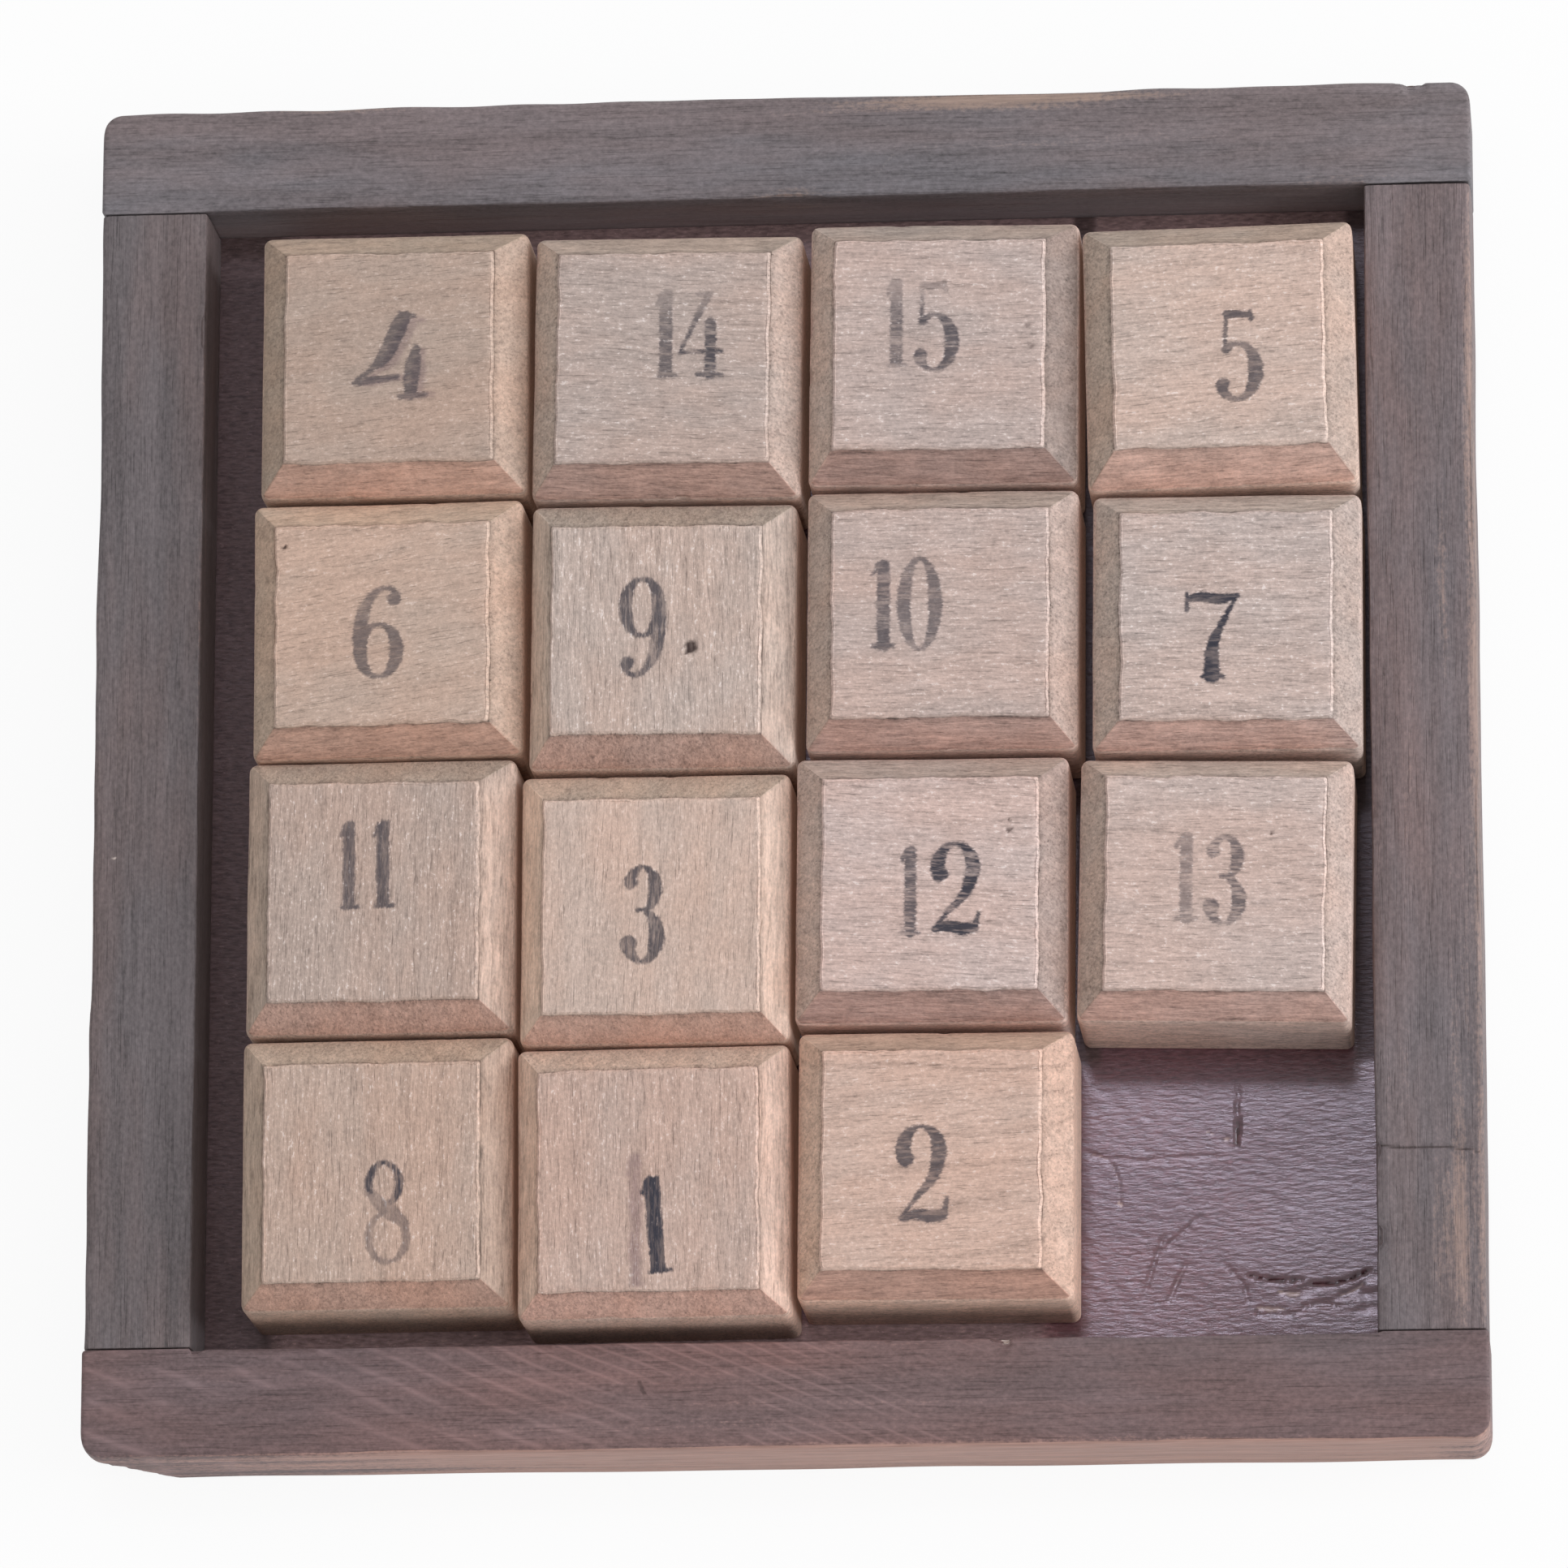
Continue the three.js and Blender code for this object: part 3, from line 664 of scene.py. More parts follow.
    none = onSkirt(0 * shares)
    values = {
        "flat": joined(1.0, onSkirt(ease(shares, 0.11, 0.07))),
        # worn: real wear of the edges, with painted highlight at the right and back rims, and painted light
        # on the sides.
        "worn": joined(0.8 * np.exp(-border / 0.15) * rimLit, onSkirt(1.0 * (shares < 0.09), lit)
                       + onSkirt(0.8 * arris + 0.9 * side, 0.4 + 0.6 * wear)),
        # Painted shade: a dark line in the groove round the flat, and lower sides darker where blocks stand
        # close.
        "paintedShade": joined(0.0, onSkirt(np.exp(-((shares - 0.115) / 0.012) ** 2) + 0.25 * ease(drops, 6.5, 13))),
        # The ruddy and olive marks pick the bevels that take painted shade tints: the front, and the left and
        # back.
        "oliveShade": joined(0.0, onSkirt(1.0 * bevel, 1.0 * (atLeft | atBack))),
        "ruddyFrontShade": joined(0.0, onSkirt(1.0 * bevel, 1.0 * atFront)),
        "bevelToneAndShade": joined(1.0, 1 + onSkirt(1.0 * bevel, bevelToneAndShade - 1)),
        "paintedGlowSides": joined(0.0, onSkirt(side, 1.0 * (atLeft | atRight))),
        "spots": joined(spots, none), "ink": joined(ink, none + noInk), "inkTone": joined(tone, none),
        "ghost": joined(ghost, none + noInk), "ghostTone": joined(ghostTone, none),
    }
    return points, faces, values


# Where the node stands, how it is turned and its half sizes: the corners of its flat top give the first two.
def blockPlace(node):
    co = np.array([v.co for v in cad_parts[node].data.vertices]) / mm
    top = co[co[:, 2] > co[:, 2].max() - 1e-3][:, :2]
    centre = (top.min(0) + top.max(0)) / 2
    edge = top[np.argmax(top @ (1.0, 1.0))] - top[np.argmax(top @ (1.0, -1.0))]
    turn = math.atan2(-edge[0], edge[1])
    return centre, turn, co[:, 2].max(), turned(co[:, :2] - centre, -turn).max(0)


for number, ownLook in blockLooks.items():
    node, look = f"block_{number:02d}", blockLook | ownLook
    centre, turn, topHeight, half = blockPlace(node)
    points, faces, values = blockSurface(number, look, half)
    placed = np.concatenate([turned(points[:, :2], turn) + centre, points[:, 2:] + topHeight], axis=1)
    material = blockWood(number, look, (*centre, topHeight), math.degrees(turn))
    piece = makePiece(f"{node}_wood", placed, faces, material, values, look["sharpAngle"])
    standFor(piece, node, node)
print("blocks:", len(blockLooks))


# Rail look: worn edges and marks. Lengths run along the rail (u) and across it from the opening (v).
# chips: u, half length, depth, edge. grooves: points of u, v, half width, then depth and tone.
# bare: u, v, reach along, reach across, strength of the worn brown wood.
# closer: how far a side rail reaches into the long rails, so that the joint closes to a line.
# ringGaps: places along the rail and how far apart the year rings are there.
railLook = {
    "outerArris": 0.6, "innerArris": 0.3, "buttArris": 0.1, "endArris": 0.45, "hiddenArris": 0.15,
    "opening": 63.2, "rebate": 4.8, "boardTop": 3.0, "pocket": 68.0, "cornerRadius": 2.2, "closer": 0.2,
    "nailInset": 6.4, "nailHeights": (5.9, 10.1), "nailDimple": (1.35, 0.16), "rowStep": 0.75,
    "fineStep": 0.28, "rebateShare": 0.41, "flatShare": 0.065, "ringLean": 2.3, "ringStep": 0.476,
    "ringGaps": ((-100, -60, -25, 20), (8.0, 7.0, 3.4, 2.6)), "rings": 0.0, "faceBareAndLit": 0.0, "paintedInnerShade": 0.0,
    "bareTone": (163, 128, 110), "paleScar": (205, 190, 182), "darkScar": (52, 38, 36), "broken": None,
    "warmPlace": None, "warmTint": (1.16, 1.06, 1.0),
}
railLooks = {
    "back_rail": {
        "tint": (117, 111, 113), "warm": 0.35, "seed": 11, "paintedInnerShade": -1.15,
        "bareTone": (158, 135, 122),
        "chips": [(68.8, 1.1, 0.9, "outer"), (24, 14, 0.3, "outer"), (1.0, 3, 0.35, "inner")],
        "grooves": [([(12.1, 4.7, 0.2), (10.5, 2.6, 0.16)], 0.03, 0.3),
                    ([(-68.1, 0.5, 0.35), (-67.5, 0.4, 0.2)], 0.1, 1.0)],
        "bare": [(23, 10.8, 22, 1.6, 0.8), (1, 0.5, 6, 0.9, 0.8), (-50, 11.5, 12, 0.8, 0.6),
                 (30, 6, 30, 4, 0.35), (60, 0.4, 8, 0.8, 0.5)],
    },
    "front_rail": {
        "tint": (113, 97, 98), "warm": 0.65, "rings": 0.42, "seed": 12,
        "chips": [(23.5, 0.9, 0.5, "inner"), (-40, 5, 0.3, "outer"), (50, 8, 0.25, "outer"),
                  (-63, 1.5, 0.4, "inner")],
        "grooves": [([(23.3, 0.9, 0.1), (23.8, 0.3, 0.3), (24.1, 0.1, 0.25)], 0.1, 1.0),
                    ([(-15.1, 4.3, 0.25), (-14.6, 5.6, 0.3)], 0.05, -0.5)],
        "faceBareAndLit": 1.1, "bareTone": (184, 146, 134), "nailDimple": (1.35, 0.0), "warmPlace": (-4, 52),
        "bare": [(0, 11.9, 80, 1.0, 0.2), (-8, 7, 30, 6, 0.32), (40, 11.5, 30, 1.2, 0.6),
                 (-60, 3, 10, 2, 0.3)],
        "broken": (8.5, 6.0, 12.0),
    },
    "left_rail": {
        "tint": (110, 101, 101), "warm": 0.2, "seed": 13,
        "chips": [(-20, 6, 0.25, "outer"), (35, 5, 0.25, "outer"), (50, 2, 0.3, "inner")],
        "grooves": [([(-9.4, 9.0, 0.12), (-9.2, 9.5, 0.1)], 0.05, 0.8)], "paintedInnerShade": -0.35,
        "bare": [(40, 11.6, 20, 0.7, 0.5), (-20, 11.6, 25, 0.7, 0.5), (20, 0.3, 30, 0.5, 0.3)],
    },
    "right_rail": {
        "tint": (115, 105, 106), "warm": 0.5, "seed": 14,
        "chips": [(30, 9, 0.3, "outer"), (-10, 8, 0.35, "outer"), (-44, 1.2, 0.5, "inner"),
                  (-53, 1.0, 0.6, "inner")],
        "grooves": [([(-43.2, 0.3, 0.12), (-43.5, 3.0, 0.22), (-43.5, 7.0, 0.18), (-44.0, 11.0, 0.14)],
                     0.14, -0.6)],
        "bareTone": (156, 132, 122),
        "bare": [(10, 11.5, 60, 1.1, 0.9), (-54, 7.5, 12, 4.5, 0.68), (20, 8, 14, 1.2, 0.5),
                 (40, 6, 10, 1.5, 0.4), (-30, 9.5, 20, 2.0, 0.5), (-5, 4, 16, 0.8, 0.35),
                 (-36, 3, 10, 1.5, 0.4)],
    },
}


# Dark stained wood, greyed by age: streaks along the rail, short pores, worn brown edges and scratches.
def railWood(name, look, centre, grainAngle):
    n = startMaterial(f"{name}_wood", centre, grainAngle, grainStart(700 + look["seed"]))
    broad, blotch = n.noise(0.02, 0.09), n.noise(0.05, 0.2)
    streak = n.noise(0.018, 0.55, 5.0, 0.62, 0.2)
    fibre = n.noise(0.16, 3.4, 4.0, 0.65)
    pore = n.noise(0.22, 4.6, 1.0, 0.5, 0.5)
    speck = n.noise(1.6, 2.6, 2.0, 0.7)
    tint = np.array(look["tint"])
    cool, warm = paint(*(tint * (0.985, 1.0, 1.015))), paint(*(tint * (1.05, 0.985, 0.965)))
    warmth = n.add(look["warm"] - 0.5, (n.ease(broad, 0.3, 0.7), 1.0))
    colour = n.blend(n.put("ShaderNodeClamp", {0: warmth}).outputs[0], cool, warm)
    if look["warmPlace"]:
        middle, reach = look["warmPlace"]
        away = n.calc("ABSOLUTE", n.calc("SUBTRACT", n.at("along"), middle))
        colour = n.blend(n.ease(away, reach, 0.3 * reach), colour, n.tinted(colour, look["warmTint"]))
    shade = n.sway(1.0, (streak, 0.75), (fibre, 0.7), (speck, 1.1), (blotch, 0.5))
    shade = n.add(shade, (n.ease(pore, 0.58, 0.72), -0.22))
    if look["rings"]:
        count = n.calc("FRACT", n.add(n.at("ring"), (n.noise(0.05, 0.12, 2.0, 0.5), 0.9)))
        gap = n.sway(n.calc("ABSOLUTE", n.calc("SUBTRACT", count, 0.5)), (speck, 0.3))
        ring = n.times(n.ease(gap, 0.19, 0.0), n.ease(blotch, 0.38, 0.6))
        shade = n.add(shade, (n.times(ring, n.ease(n.at("along"), 50.0, 5.0)), look["rings"]))
    # Painted light and shade on the rails' inner faces, from the inner value.
    colour = n.shaded(colour, n.add(shade, (n.at("inner"), -1.0)))
    bare = n.ease(n.sway(n.at("bare"), (streak, 1.6), (speck, 0.9)), 0.45, 1.05, 0.0, 0.85)
    bareShade = n.add(n.times(fibre, 1.2), (streak, 0.8))
    colour = n.blend(bare, colour, n.shaded(paint(*look["bareTone"]), bareShade))
    scar = n.at("scar")
    colour = n.blend(n.ease(scar, 0.15, 0.8), colour, paint(*look["paleScar"]))
    colour = n.blend(n.ease(scar, -0.15, -0.8), colour, paint(*look["darkScar"]))
    height = n.add(n.times(fibre, 0.8), (streak, 0.6), (n.ease(pore, 0.56, 0.72), -0.6))
    n.finish(colour, n.add(0.46, (fibre, 0.25)), height, 0.15, 0.5)
    n.surface({"Specular IOR Level": 0.4})
    return n.owner


# A rail's section as a closed loop, from the rebate round the outside: each point's share across (0 at the
# opening), share of the height, offset from there and outward normal. Height shares of -1 and -2 are the
# roof and the foot of the rebate.
def railSection(look):
    parts = []

    def run(count, across, up, normal):
        t = np.linspace(0, 1, count, endpoint=False)[:, None]
        across, up = np.array(across, float), np.array(up, float)
        parts.append(np.hstack([across[0] + (across[1] - across[0]) * t, up[0] + (up[1] - up[0]) * t,
                                np.zeros((count, 2)), np.tile(normal, (count, 1))]))

    def turn(across, start, radius):
        a = np.radians(np.linspace(start, start + 90, 7))
        wave = np.stack([np.cos(a), np.sin(a)], -1)
        offset = wave * radius - ((2 * across - 1) * radius, radius)
        parts.append(np.hstack([np.full((7, 1), across), np.ones((7, 1)), offset, wave]))

    edge, wall = look["flatShare"], look["rebateShare"]
    run(6, (wall, 1), (0, 0), (0, -1))
    run(46, (1, 1), (0, 1 - edge), (1, 0))
    turn(1, 0, look["outerArris"])
    run(32, (1 - edge, edge), (1, 1), (0, 1))
    turn(0, 90, look["innerArris"])
    run(16, (0, 0), (1 - edge, 0), (-1, 0))
    run(5, (0, wall), (-1, -1), (0, 0))
    run(4, (wall, wall), (-1, -2), (0, 0))
    return np.concatenate(parts)


# A rail: that section carried along its length. The outer face follows the tray's rounded corners, the
# ends close in rings, and worn edges, chips, grooves and nail dimples are pressed in along the normal.
def railSurface(look, length, width, height, isLong):
    section = railSection(look)
    half = length / 2
    nailAt = half - look["nailInset"] if isLong else 1e9
    arris = look["endArris"] if isLong else look["hiddenArris"]

    def spacing(u):
        finer = (np.abs(np.abs(u) - nailAt) < 2.2) | (half - np.abs(u) < 2.6)
        for chip in look["chips"]:
            finer |= np.abs(u - chip[0]) < min(chip[1], 2) * 1.6
        for path, *_ in look["grooves"]:
            finer |= np.abs(u - path[0][0]) < abs(path[-1][0] - path[0][0]) + 0.6
        return np.where(finer, look["fineStep"], look["rowStep"])

    lines = spacedLines(-half + arris, half - arris, spacing)
    if isLong:
        near = [s * (look["pocket"] + d) for s in (-1, 1) for d in (-0.02, 0.02)]
        lines = np.sort(np.concatenate([lines, near]))
    sweepAngles = np.radians(np.array([20, 40, 60, 75, 90]))
    endRun, endInset = arris * np.sin(sweepAngles), arris * (1 - np.cos(sweepAngles))
    u = np.concatenate([-(half - arris + endRun)[::-1], lines, half - arris + endRun])
    inset = np.concatenate([endInset[::-1], lines * 0, endInset])
    shrink = np.array([0.8, 0.6, 0.4, 0.2, 0.02])
    u = np.concatenate([np.full(5, -half), u, np.full(5, half)])
    inset = np.concatenate([np.full(5, arris), inset, np.full(5, arris)])
    scale = np.concatenate([shrink[::-1], np.ones(len(u) - 10), shrink])
    reach = np.clip(np.abs(u) - (half - look["cornerRadius"]), 0, look["cornerRadius"])
    rounding = look["cornerRadius"] - np.sqrt(look["cornerRadius"] ** 2 - reach**2)
    outer = width - (rounding if isLong else 0 * u)
    ceiling = np.where((np.abs(u) < look["pocket"]) | (not isLong), look["boardTop"], 0.0)
    share, rise, offV, offZ, normV, normZ = section.T
    butts = (np.abs(u) > look["opening"]) & isLong
    soft = np.where(butts[:, None] & (share == 0), look["buttArris"] / look["innerArris"], 1.0)
    offV, offZ = offV * soft, offZ * soft
    rows, count = len(u), len(section)
    us, low = u[:, None] * np.ones((rows, count)), inset[:, None]
    roof = np.maximum(ceiling[:, None], low)
    vs = low + share * (outer[:, None] - low - low) + offV
    innerFace = (share == 0) & (rise >= 0) & (normV < 0) & (section[:, 2] == 0)
    base = np.where(innerFace, roof, low)
    zs = base + np.maximum(rise, 0) * (height - low - base) + offZ
    zs = np.where(rise < 0, low + (roof - low) * (rise + 2), zs)
    onWall = (rise < 0) | ((normZ < 0) & (share <= look["rebateShare"]))
    vs = np.where(onWall & (share > 0), look["rebate"], vs)
    flat = np.stack([us, vs, zs], -1)
    seed = 100 * look["seed"]
    depth = 0.05 * (1 + ripple(flat, seed + 1, 28.0))
    depth += 0.02 * (1 + ripple(flat * (0.08, 1, 1), seed + 2, 1.3))
    outerEdge = np.exp(-np.hypot(vs - outer[:, None], zs - height) / 0.9) * (normZ >= 0)
    innerEdge = np.exp(-np.hypot(vs, zs - height) / 0.6) * (normZ >= 0) * ~butts[:, None]
    wander = np.stack([us, us * 0 + (vs > width / 2) * 40], -1)
    worn = 0.2 + 0.22 * (1 + ripple(wander, seed + 3, 14.0)) * 0.5
    depth += worn * (outerEdge + 0.7 * innerEdge)
    for at, reach, deep, side in look["chips"]:
        bump = np.exp(-np.abs((us + 0.4 * ripple(flat, seed + 4, 2.0) - at) / reach) ** 3)
        depth += deep * bump * (outerEdge if side == "outer" else innerEdge) * 1.5
    upper = ease(zs, height - 2.5, height - 0.8)
    plan = np.stack([us, vs], -1).reshape(-1, 2)
    cut, scar = (upper * v.reshape(rows, -1) for v in scratches(plan, look["grooves"], 0.12, -0.1))
    depth += cut
    if isLong:
        radius, deep = look["nailDimple"]
        for tall in look["nailHeights"]:
            gap = np.hypot(np.abs(us) - nailAt, zs - tall)
            depth += deep * ease(gap, radius + 0.12, radius - 0.25) * (normV > 0.9)
    depth = np.maximum(depth, 0) * (scale[:, None] > 0.99)
    vs, zs = vs - depth * normV, zs - depth * normZ
    middle = np.array([(inset[0] + outer[0]) / 2, height / 2])
    vs = middle[0] + (vs - middle[0]) * scale[:, None]
    zs = middle[1] + (zs - middle[1]) * scale[:, None]
    zs = np.clip(zs, 0, height)
    points = np.stack([us, vs, zs], -1).reshape(-1, 3)
    body = 1.0 * (scale[:, None] > 0.99)
    bare = 0.3 * worn * (outerEdge + innerEdge)
    # The outer face is made paler with the bare tone: partly worn bare wood, partly painted light thrown up
    # from the floor.
    faceShare = 0.5 + 0.5 * ease(us, -62, -12) - 0.35 * ease(us, 66, 73)
    bare += look["faceBareAndLit"] * ease(normV, 0.5, 0.9) * ease(vs, 0, width) * faceShare
    for at, across, reachU, reachV, strength in look["bare"]:
        near = np.exp(-((us - at) / reachU) ** 2 - ((vs - across) / reachV) ** 2)
        bare += strength * near * ease(zs, 2, height - 1)
    bare *= body
    numbers = np.arange(rows * count).reshape(rows, count)
    quads = gridQuads(numbers, wrap=True)
    slant = np.linspace(-110, 80, 400)
    rings = np.cumsum(look["ringStep"] / np.interp(slant, *look["ringGaps"]))
    # Painted shade on the inner face towards the bottom where the value is above zero, painted light below
    # zero.
    inner = look["paintedInnerShade"] * ease(-normV, 0.5, 0.9) * ease(zs, 12.5, 4) * body * ~butts[:, None]
    values = {"bare": bare, "scar": scar, "along": us, "inner": inner,
              "ring": np.interp(us - look["ringLean"] * vs, slant, rings)}
    values = {key: value.ravel() for key, value in values.items()}
    return points, [quads, numbers[:1, ::-1], numbers[-1:]], values


# The broken corner: what lies beyond a slanted plane through three points on the corner's edges is
# pressed back to that plane, with a splintered surface.
def breakCorner(points, half, width, sizes, seed):
    corner = np.array([-half, width, 0])
    ends = [corner + (sizes[0], 0, 0), corner - (0, sizes[1], 0), corner + (0, 0, sizes[2])]
    normal = np.cross(ends[1] - ends[0], ends[2] - ends[0])
    normal /= np.linalg.norm(normal)
    if (corner - ends[0]) @ normal < 0:
        normal = -normal
    splinter = 0.18 * ripple(points * (0.3, 1, 1), seed, 1.6) - 0.2
    beyond = np.maximum((points - ends[0]) @ normal - splinter, 0)
    return points - beyond[:, None] * normal, np.minimum(beyond / 0.6, 1)


# Each rail's axis along, and the side of the tray it stands on.
turnsOfRails = {"back_rail": (0, 1), "front_rail": (0, -1), "left_rail": (1, -1), "right_rail": (1, 1)}
for name, (axis, side) in turnsOfRails.items():
    look = railLook | railLooks[name]
    low, high = nodeBox(name)
    length, height = high[axis] - low[axis] + 2 * axis * look["closer"], high[2]
    innerLine = min(abs(low[1 - axis]), abs(high[1 - axis]))
    width = high[1 - axis] - low[1 - axis]
    points, faces, values = railSurface(look, length, width, height, axis == 0)
    if look["broken"]:
        points, fresh = breakCorner(points, length / 2, width, look["broken"], 77)
        values["bare"] = np.maximum(values["bare"], 1.1 * fresh)
    world = np.empty_like(points)
    world[:, axis] = points[:, 0]
    world[:, 1 - axis] = side * (innerLine + points[:, 1])
    world[:, 2] = points[:, 2]
    if (side < 0) == (axis == 0):
        faces = [block[:, ::-1] for block in faces]
    centre = ((low + high) / 2).tolist()
    material = railWood(name, look, centre, 90 * axis)
    standFor(makePiece(f"{name}_wood", world, faces, material, values), name, "tray")
print("rails:", len(railLooks))


# Base board: a plate on a grid of lines that are close in the empty place and round the pins.
# grooves: points of x, y, half width, then depth and tone, dark below zero and pale above. rough: x, y, reach
# along both and depth of a torn patch. The gap values: how light the board is in each gap (left, back, front,
# right and the seam), painted light and shade for how the light reaches the gaps, which are also dusty; the
# dust tone there is part dust colour and part shade colour. lowered keeps its face off the feet of the
# blocks.
boardLook = {
    "tint": (96, 66, 71), "fine": 0.25, "coarse": 1.8, "pinStep": 0.6, "cell": ((30.5, 64), (-64, -30.5)),
    "pinDimple": (1.25, 0.4), "lowered": 0.01, "underTone": (128, 104, 91), "gapDustAndShadeTone": (92, 76, 76),
    "gapLightLeft": 1.2, "gapLightBack": 2.4, "gapLightFront": 4.0, "gapLightRight": 1.0, "gapLightSeam": 0.9,
    "paleScar": (176, 150, 140), "darkScar": (58, 30, 32),
    "grooves": [
        ([(48.3, -34.2, 0.02), (48.3, -37.2, 0.03), (48.3, -38.6, 0.1), (48.25, -41.0, 0.05)], 0.22, -0.8),
        ([(32.1, -41.5, 0.05), (34.3, -42.4, 0.07), (35.4, -44.6, 0.06), (35.6, -46.6, 0.04)], 0.04, 0.4),
        ([(35.5, -47.1, 0.22), (35.7, -47.3, 0.22)], 0.03, 0.7),
        ([(45.0, -39.5, 0.15), (45.5, -39.7, 0.12)], 0.03, 0.6),
        ([(46.9, -40.3, 0.2), (47.3, -40.2, 0.15)], 0.03, 0.6),
        ([(49.4, -55.2, 0.05), (52.0, -55.7, 0.12), (54.8, -55.8, 0.08)], 0.2, -0.7),
        ([(56.0, -56.2, 0.05), (59.4, -55.9, 0.12), (62.2, -54.8, 0.1)], 0.22, -0.7),
        ([(52.4, -57.0, 0.12), (54.0, -57.3, 0.22), (54.8, -57.3, 0.1)], 0.05, 0.7),
        ([(50.2, -58.7, 0.1), (51.6, -58.9, 0.22), (53.0, -58.9, 0.1)], 0.05, 0.7),
        ([(50.2, -59.3, 0.05), (53.0, -59.5, 0.06), (55.0, -59.2, 0.05)], 0.1, -0.4),
        ([(55.2, -58.6, 0.05), (57.5, -58.4, 0.06), (59.0, -58.7, 0.06)], 0.1, -0.4),
        ([(58.6, -57.6, 0.06), (60.5, -57.0, 0.14), (61.5, -56.2, 0.06)], 0.08, 0.5),
        ([(38.0, -57.5, 0.04), (39.4, -53.0, 0.06), (40.2, -50.8, 0.04)], 0.07, -0.45),
        ([(39.6, -52.8, 0.04), (42.4, -50.2, 0.06), (43.8, -48.9, 0.04)], 0.07, -0.4),
        ([(40.6, -58.0, 0.04), (41.8, -55.4, 0.06), (42.6, -53.9, 0.04)], 0.07, 0.35),
        ([(32.5, -41.9, 0.03), (38.0, -42.4, 0.05), (46.0, -42.1, 0.03)], 0.05, 0.2),
        ([(46.5, -53.6, 0.04), (48.6, -56.0, 0.07), (49.2, -58.0, 0.04)], 0.07, -0.4),
    ],
    "rough": [(56.5, -57.3, 5.5, 1.7, 0.035), (61.8, -57.5, 1.2, 2.6, 0.03)],
}


# Purple-brown stain, glossy and flecked in the empty place, dull and dusty in the gaps, where it is also
# painted lighter, and bare wood below.
def boardWood(look):
    n = startMaterial("base_board_wood", (0, 0, 0), 0, (31.0, -17.0, 8.0))
    broad, dash = n.noise(0.03, 0.07), n.noise(0.9, 3.2)
    streak = n.noise(0.08, 0.9, 4.0)
    wrinkle = n.noise(0.75, 2.8, 3.0, 0.55, 0.2)
    speck = n.noise(1.6, 2.8, 2.0, 0.7)
    plank = n.noise(0.012, 0.35, 4.0, 0.6, 0.3)
    tint = np.array(look["tint"])
    cool, warm = paint(*(tint * (0.98, 0.99, 1.03))), paint(*(tint * (1.05, 0.96, 0.95)))
    # In the gaps the board takes a dusty tone, part dust colour and part painted shade colour, and loses its
    # gloss.
    gapDustAndLight = n.at("gapDustAndLight")
    colour = n.blend(gapDustAndLight, n.blend(n.ease(broad, 0.35, 0.65), cool, warm), paint(*look["gapDustAndShadeTone"]))
    bare = n.shaded(paint(*look["underTone"]), n.add(0.35, (plank, 1.3)))
    colour = n.blend(n.at("under"), colour, bare)
    shade = n.add(n.sway(1.0, (streak, 0.4), (dash, 1.8)), (n.ease(speck, 0.6, 0.73), 0.5))
    # Painted light: the board is made lighter in the shaded gaps by the gap brightness value.
    colour = n.shaded(n.shaded(colour, shade), n.at("paintedGapLight"))
    scar = n.at("scar")
    colour = n.blend(n.ease(scar, 0.1, 0.8, 0.0, 0.9), colour, paint(*look["paleScar"]))
    colour = n.blend(n.ease(scar, -0.1, -0.8), colour, paint(*look["darkScar"]))
    height = n.add(wrinkle, (dash, 0.25), (streak, 0.3))
    n.finish(colour, n.add(0.15, (dash, 0.14)), height, 0.1, 0.34)
    gloss = n.ease(gapDustAndLight, 0.0, 1.0, 0.94, 0.15)
    n.surface({"Specular IOR Level": gloss, "Specular Tint": (0.95, 0.93, 1.0, 1)})
    return n.owner


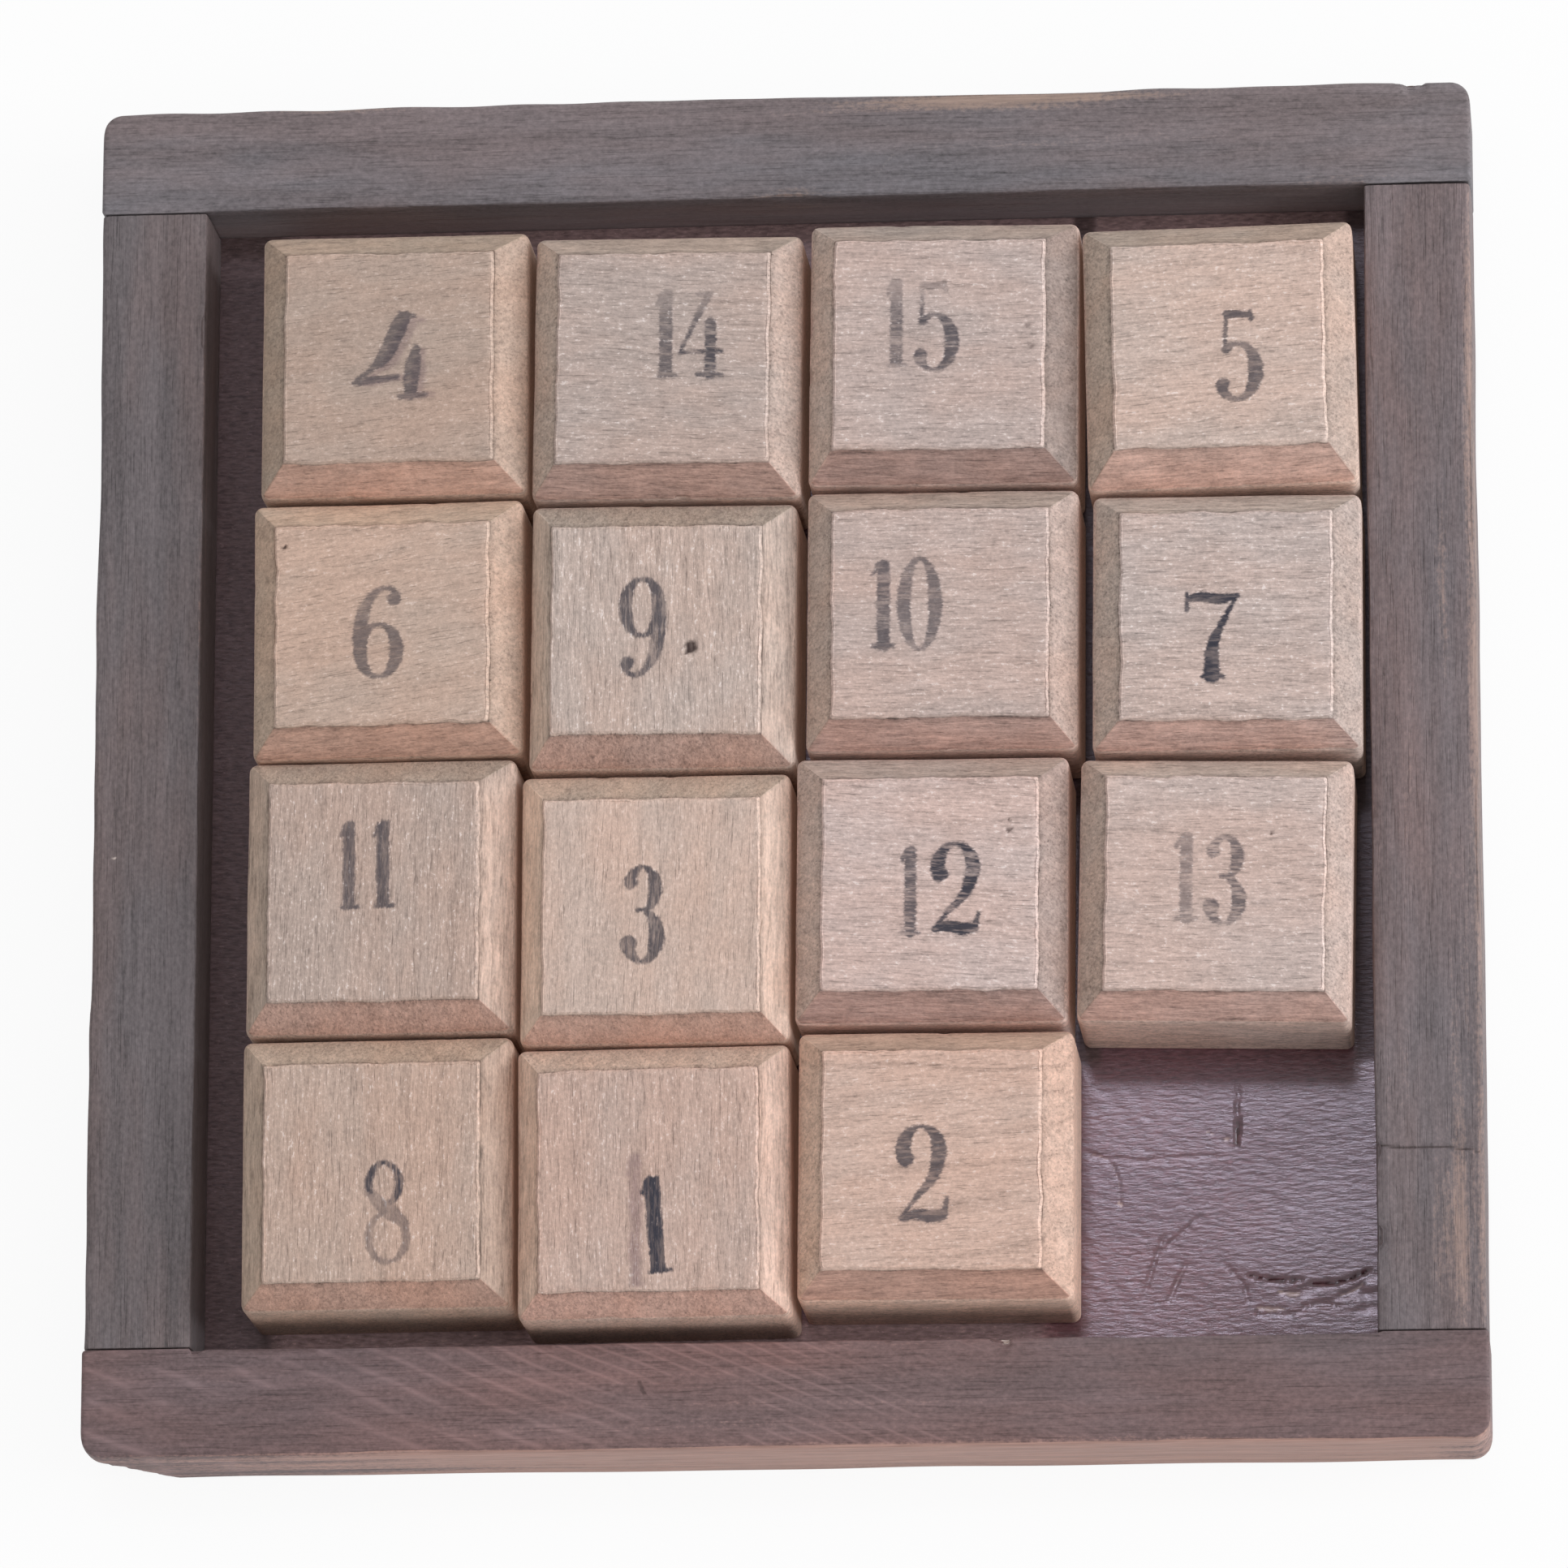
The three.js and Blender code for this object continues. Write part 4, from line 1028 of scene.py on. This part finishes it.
# The board: upper and lower faces as height fields over the same lines, joined round their borders.
def boardSurface(look, low, high, pins):
    def spacing(v, axis):
        finer = (v > look["cell"][axis][0]) & (v < look["cell"][axis][1])
        pinned = np.abs(v[:, None] - pins[:, axis]).min(1) < 1.7
        return np.where(finer, look["fine"], np.where(pinned, look["pinStep"], look["coarse"]))

    flat, numbers, loop = planGrid(low, high, spacing)
    upper = 0.06 * (1 + ripple(flat, 61, 30.0)) * 0.5 + 0.005 * (1 + ripple(flat * (0.3, 1), 62, 1.0))
    cut, scar = scratches(flat, look["grooves"], 0.16, -0.08, 0.05 * ripple(flat, 63, 0.8))
    upper += cut
    for x, y, reachX, reachY, deep in look["rough"]:
        near = np.exp(-(((flat - (x, y)) / (reachX, reachY)) ** 2).sum(1))
        lumps = ripple(flat * (0.35, 1), 64, 2.0)
        upper += deep * near * (1.6 + lumps)
        scar += 2.0 * deep * near * lumps
    upper = np.maximum(upper, look["lowered"])
    x, y = flat.T
    # Painted light and shade in the gaps: each band sets how light the board is there, and marks it dusty.
    paintedGapLight, gapDustAndLight = np.ones(len(flat)), np.zeros(len(flat))
    bands = {"gapLightBack": ease(y, 56, 58.5), "gapLightFront": ease(y, -57.5, -60) * ease(x, 29.5, 26),
             "gapLightLeft": ease(x, -54.5, -56), "gapLightRight": ease(x, 60.5, 61.5) * ease(y, -33, -31),
             "gapLightSeam": ease(np.abs(x - 32.4), 1.6, 0.8) * ease(y, -33, -31)}
    for key, share in bands.items():
        paintedGapLight += (look[key] - paintedGapLight) * share
        gapDustAndLight = np.maximum(gapDustAndLight, share)
    lower = np.zeros(len(flat))
    radius, deep = look["pinDimple"]
    for pin in pins:
        lower += deep * ease(np.linalg.norm(flat - pin[:2], axis=1), radius + 0.15, radius - 0.2)
    count = len(flat)
    heights = np.concatenate([high[2] - upper, low[2] + lower])
    points = np.column_stack([np.tile(flat, (2, 1)), heights])
    walls = gridQuads(np.stack([loop, loop + count]), wrap=True)[:, [0, 3, 2, 1]]
    faces = [gridQuads(numbers), gridQuads(numbers + count)[:, ::-1], walls]
    none, full = np.zeros(count), np.ones(count)
    values = {"scar": (np.clip(scar, -1, 1), none), "paintedGapLight": (paintedGapLight, full), "gapDustAndLight": (gapDustAndLight, full),
              "under": (none, full)}
    return points, faces, {key: np.concatenate(pair) for key, pair in values.items()}


nailNodes = [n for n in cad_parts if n.startswith(("corner_nail", "base_pin"))]
pinHeads = np.array([sum(nodeBox(n)) / 2 for n in nailNodes if n.startswith("base_pin")])
points, faces, values = boardSurface(boardLook, *nodeBox("base_board"), pinHeads)
board = makePiece("base_board_wood", points, faces, boardWood(boardLook), values)
standFor(board, "base_board", "tray")
print("base board: faces", sum(len(f) for f in faces))


nailLook = {"sides": 20, "headThickness": 0.6, "pointLength": 1.8, "shankShare": 0.55, "crown": 0.06,
            "iron": (98, 78, 70), "rust": (134, 98, 82)}


# Dull iron with patches of brown rust and small pits.
def nailIron(look):
    n = startMaterial("nail_iron_rust", (0, 0, 0), 0, (5.0, 3.0, 1.0))
    rust, pit = n.noise(2.2, 2.2, 4.0, 0.65), n.noise(6.0, 6.0, 2.0)
    colour = n.blend(n.ease(rust, 0.35, 0.65), paint(*look["iron"]), paint(*look["rust"]))
    colour = n.shaded(colour, n.add(0.6, (pit, 0.8)))
    n.finish(colour, n.add(0.45, (rust, 0.4)), pit, 0.1, 0.6)
    n.surface({"Metallic": 0.7})
    return n.owner


# A nail: a profile of radius and depth below the head's face, turned about the nail's axis.
def nailSurface(look, length, headRadius, seed):
    shank, thick, point = headRadius * look["shankShare"], look["headThickness"], look["pointLength"]
    radius = np.array([0.02, 0.5, 0.85, 0.97, 1.0, 0.97]) * headRadius
    depth = np.array([0, 0.1, 0.35, 1.0, 2.0, 9.0]) * look["crown"]
    radius = np.concatenate([radius, [shank * 1.1, shank, shank, shank, shank * 0.5, 0.02]])
    lengths = [thick, thick * 1.4, length * 0.5, length - point, length - point * 0.45, length]
    depth = np.concatenate([depth, lengths])
    a = np.linspace(0, 2 * np.pi, look["sides"], endpoint=False)
    wobble = 1 + 0.04 * ripple(np.stack([np.cos(a), np.sin(a)], -1), seed, 1.2)
    x, y = (radius[:, None] * np.minimum(wobble, 1) * f(a) for f in (np.cos, np.sin))
    points = np.stack([x, y, -depth[:, None] + 0 * x], -1).reshape(-1, 3)
    numbers = np.arange(len(points)).reshape(len(radius), -1)
    return points, [gridQuads(numbers, wrap=True)[:, ::-1], numbers[:1], numbers[-1:, ::-1]]


iron = nailIron(nailLook)
for seed, node in enumerate(sorted(nailNodes)):
    low, high = nodeBox(node)
    axis = int(np.argmax(high - low))
    into = 1 if axis == 2 else -np.sign(low[1] + high[1])
    length, headRadius = (high - low)[axis], (high - low)[0] / 2
    points, faces = nailSurface(nailLook, length, headRadius, 900 + seed)
    drive = np.zeros(3)
    drive[axis] = into
    side = np.array([1.0, 0, 0])
    other = np.cross(-drive, side)
    head = (low + high) / 2 - drive * length / 2
    placed = head + points[:, :1] * side + points[:, 1:2] * other - points[:, 2:] * drive
    standFor(makePiece(f"{node}_iron", placed, faces, iron), node, "tray")
print("nails:", len(nailNodes))
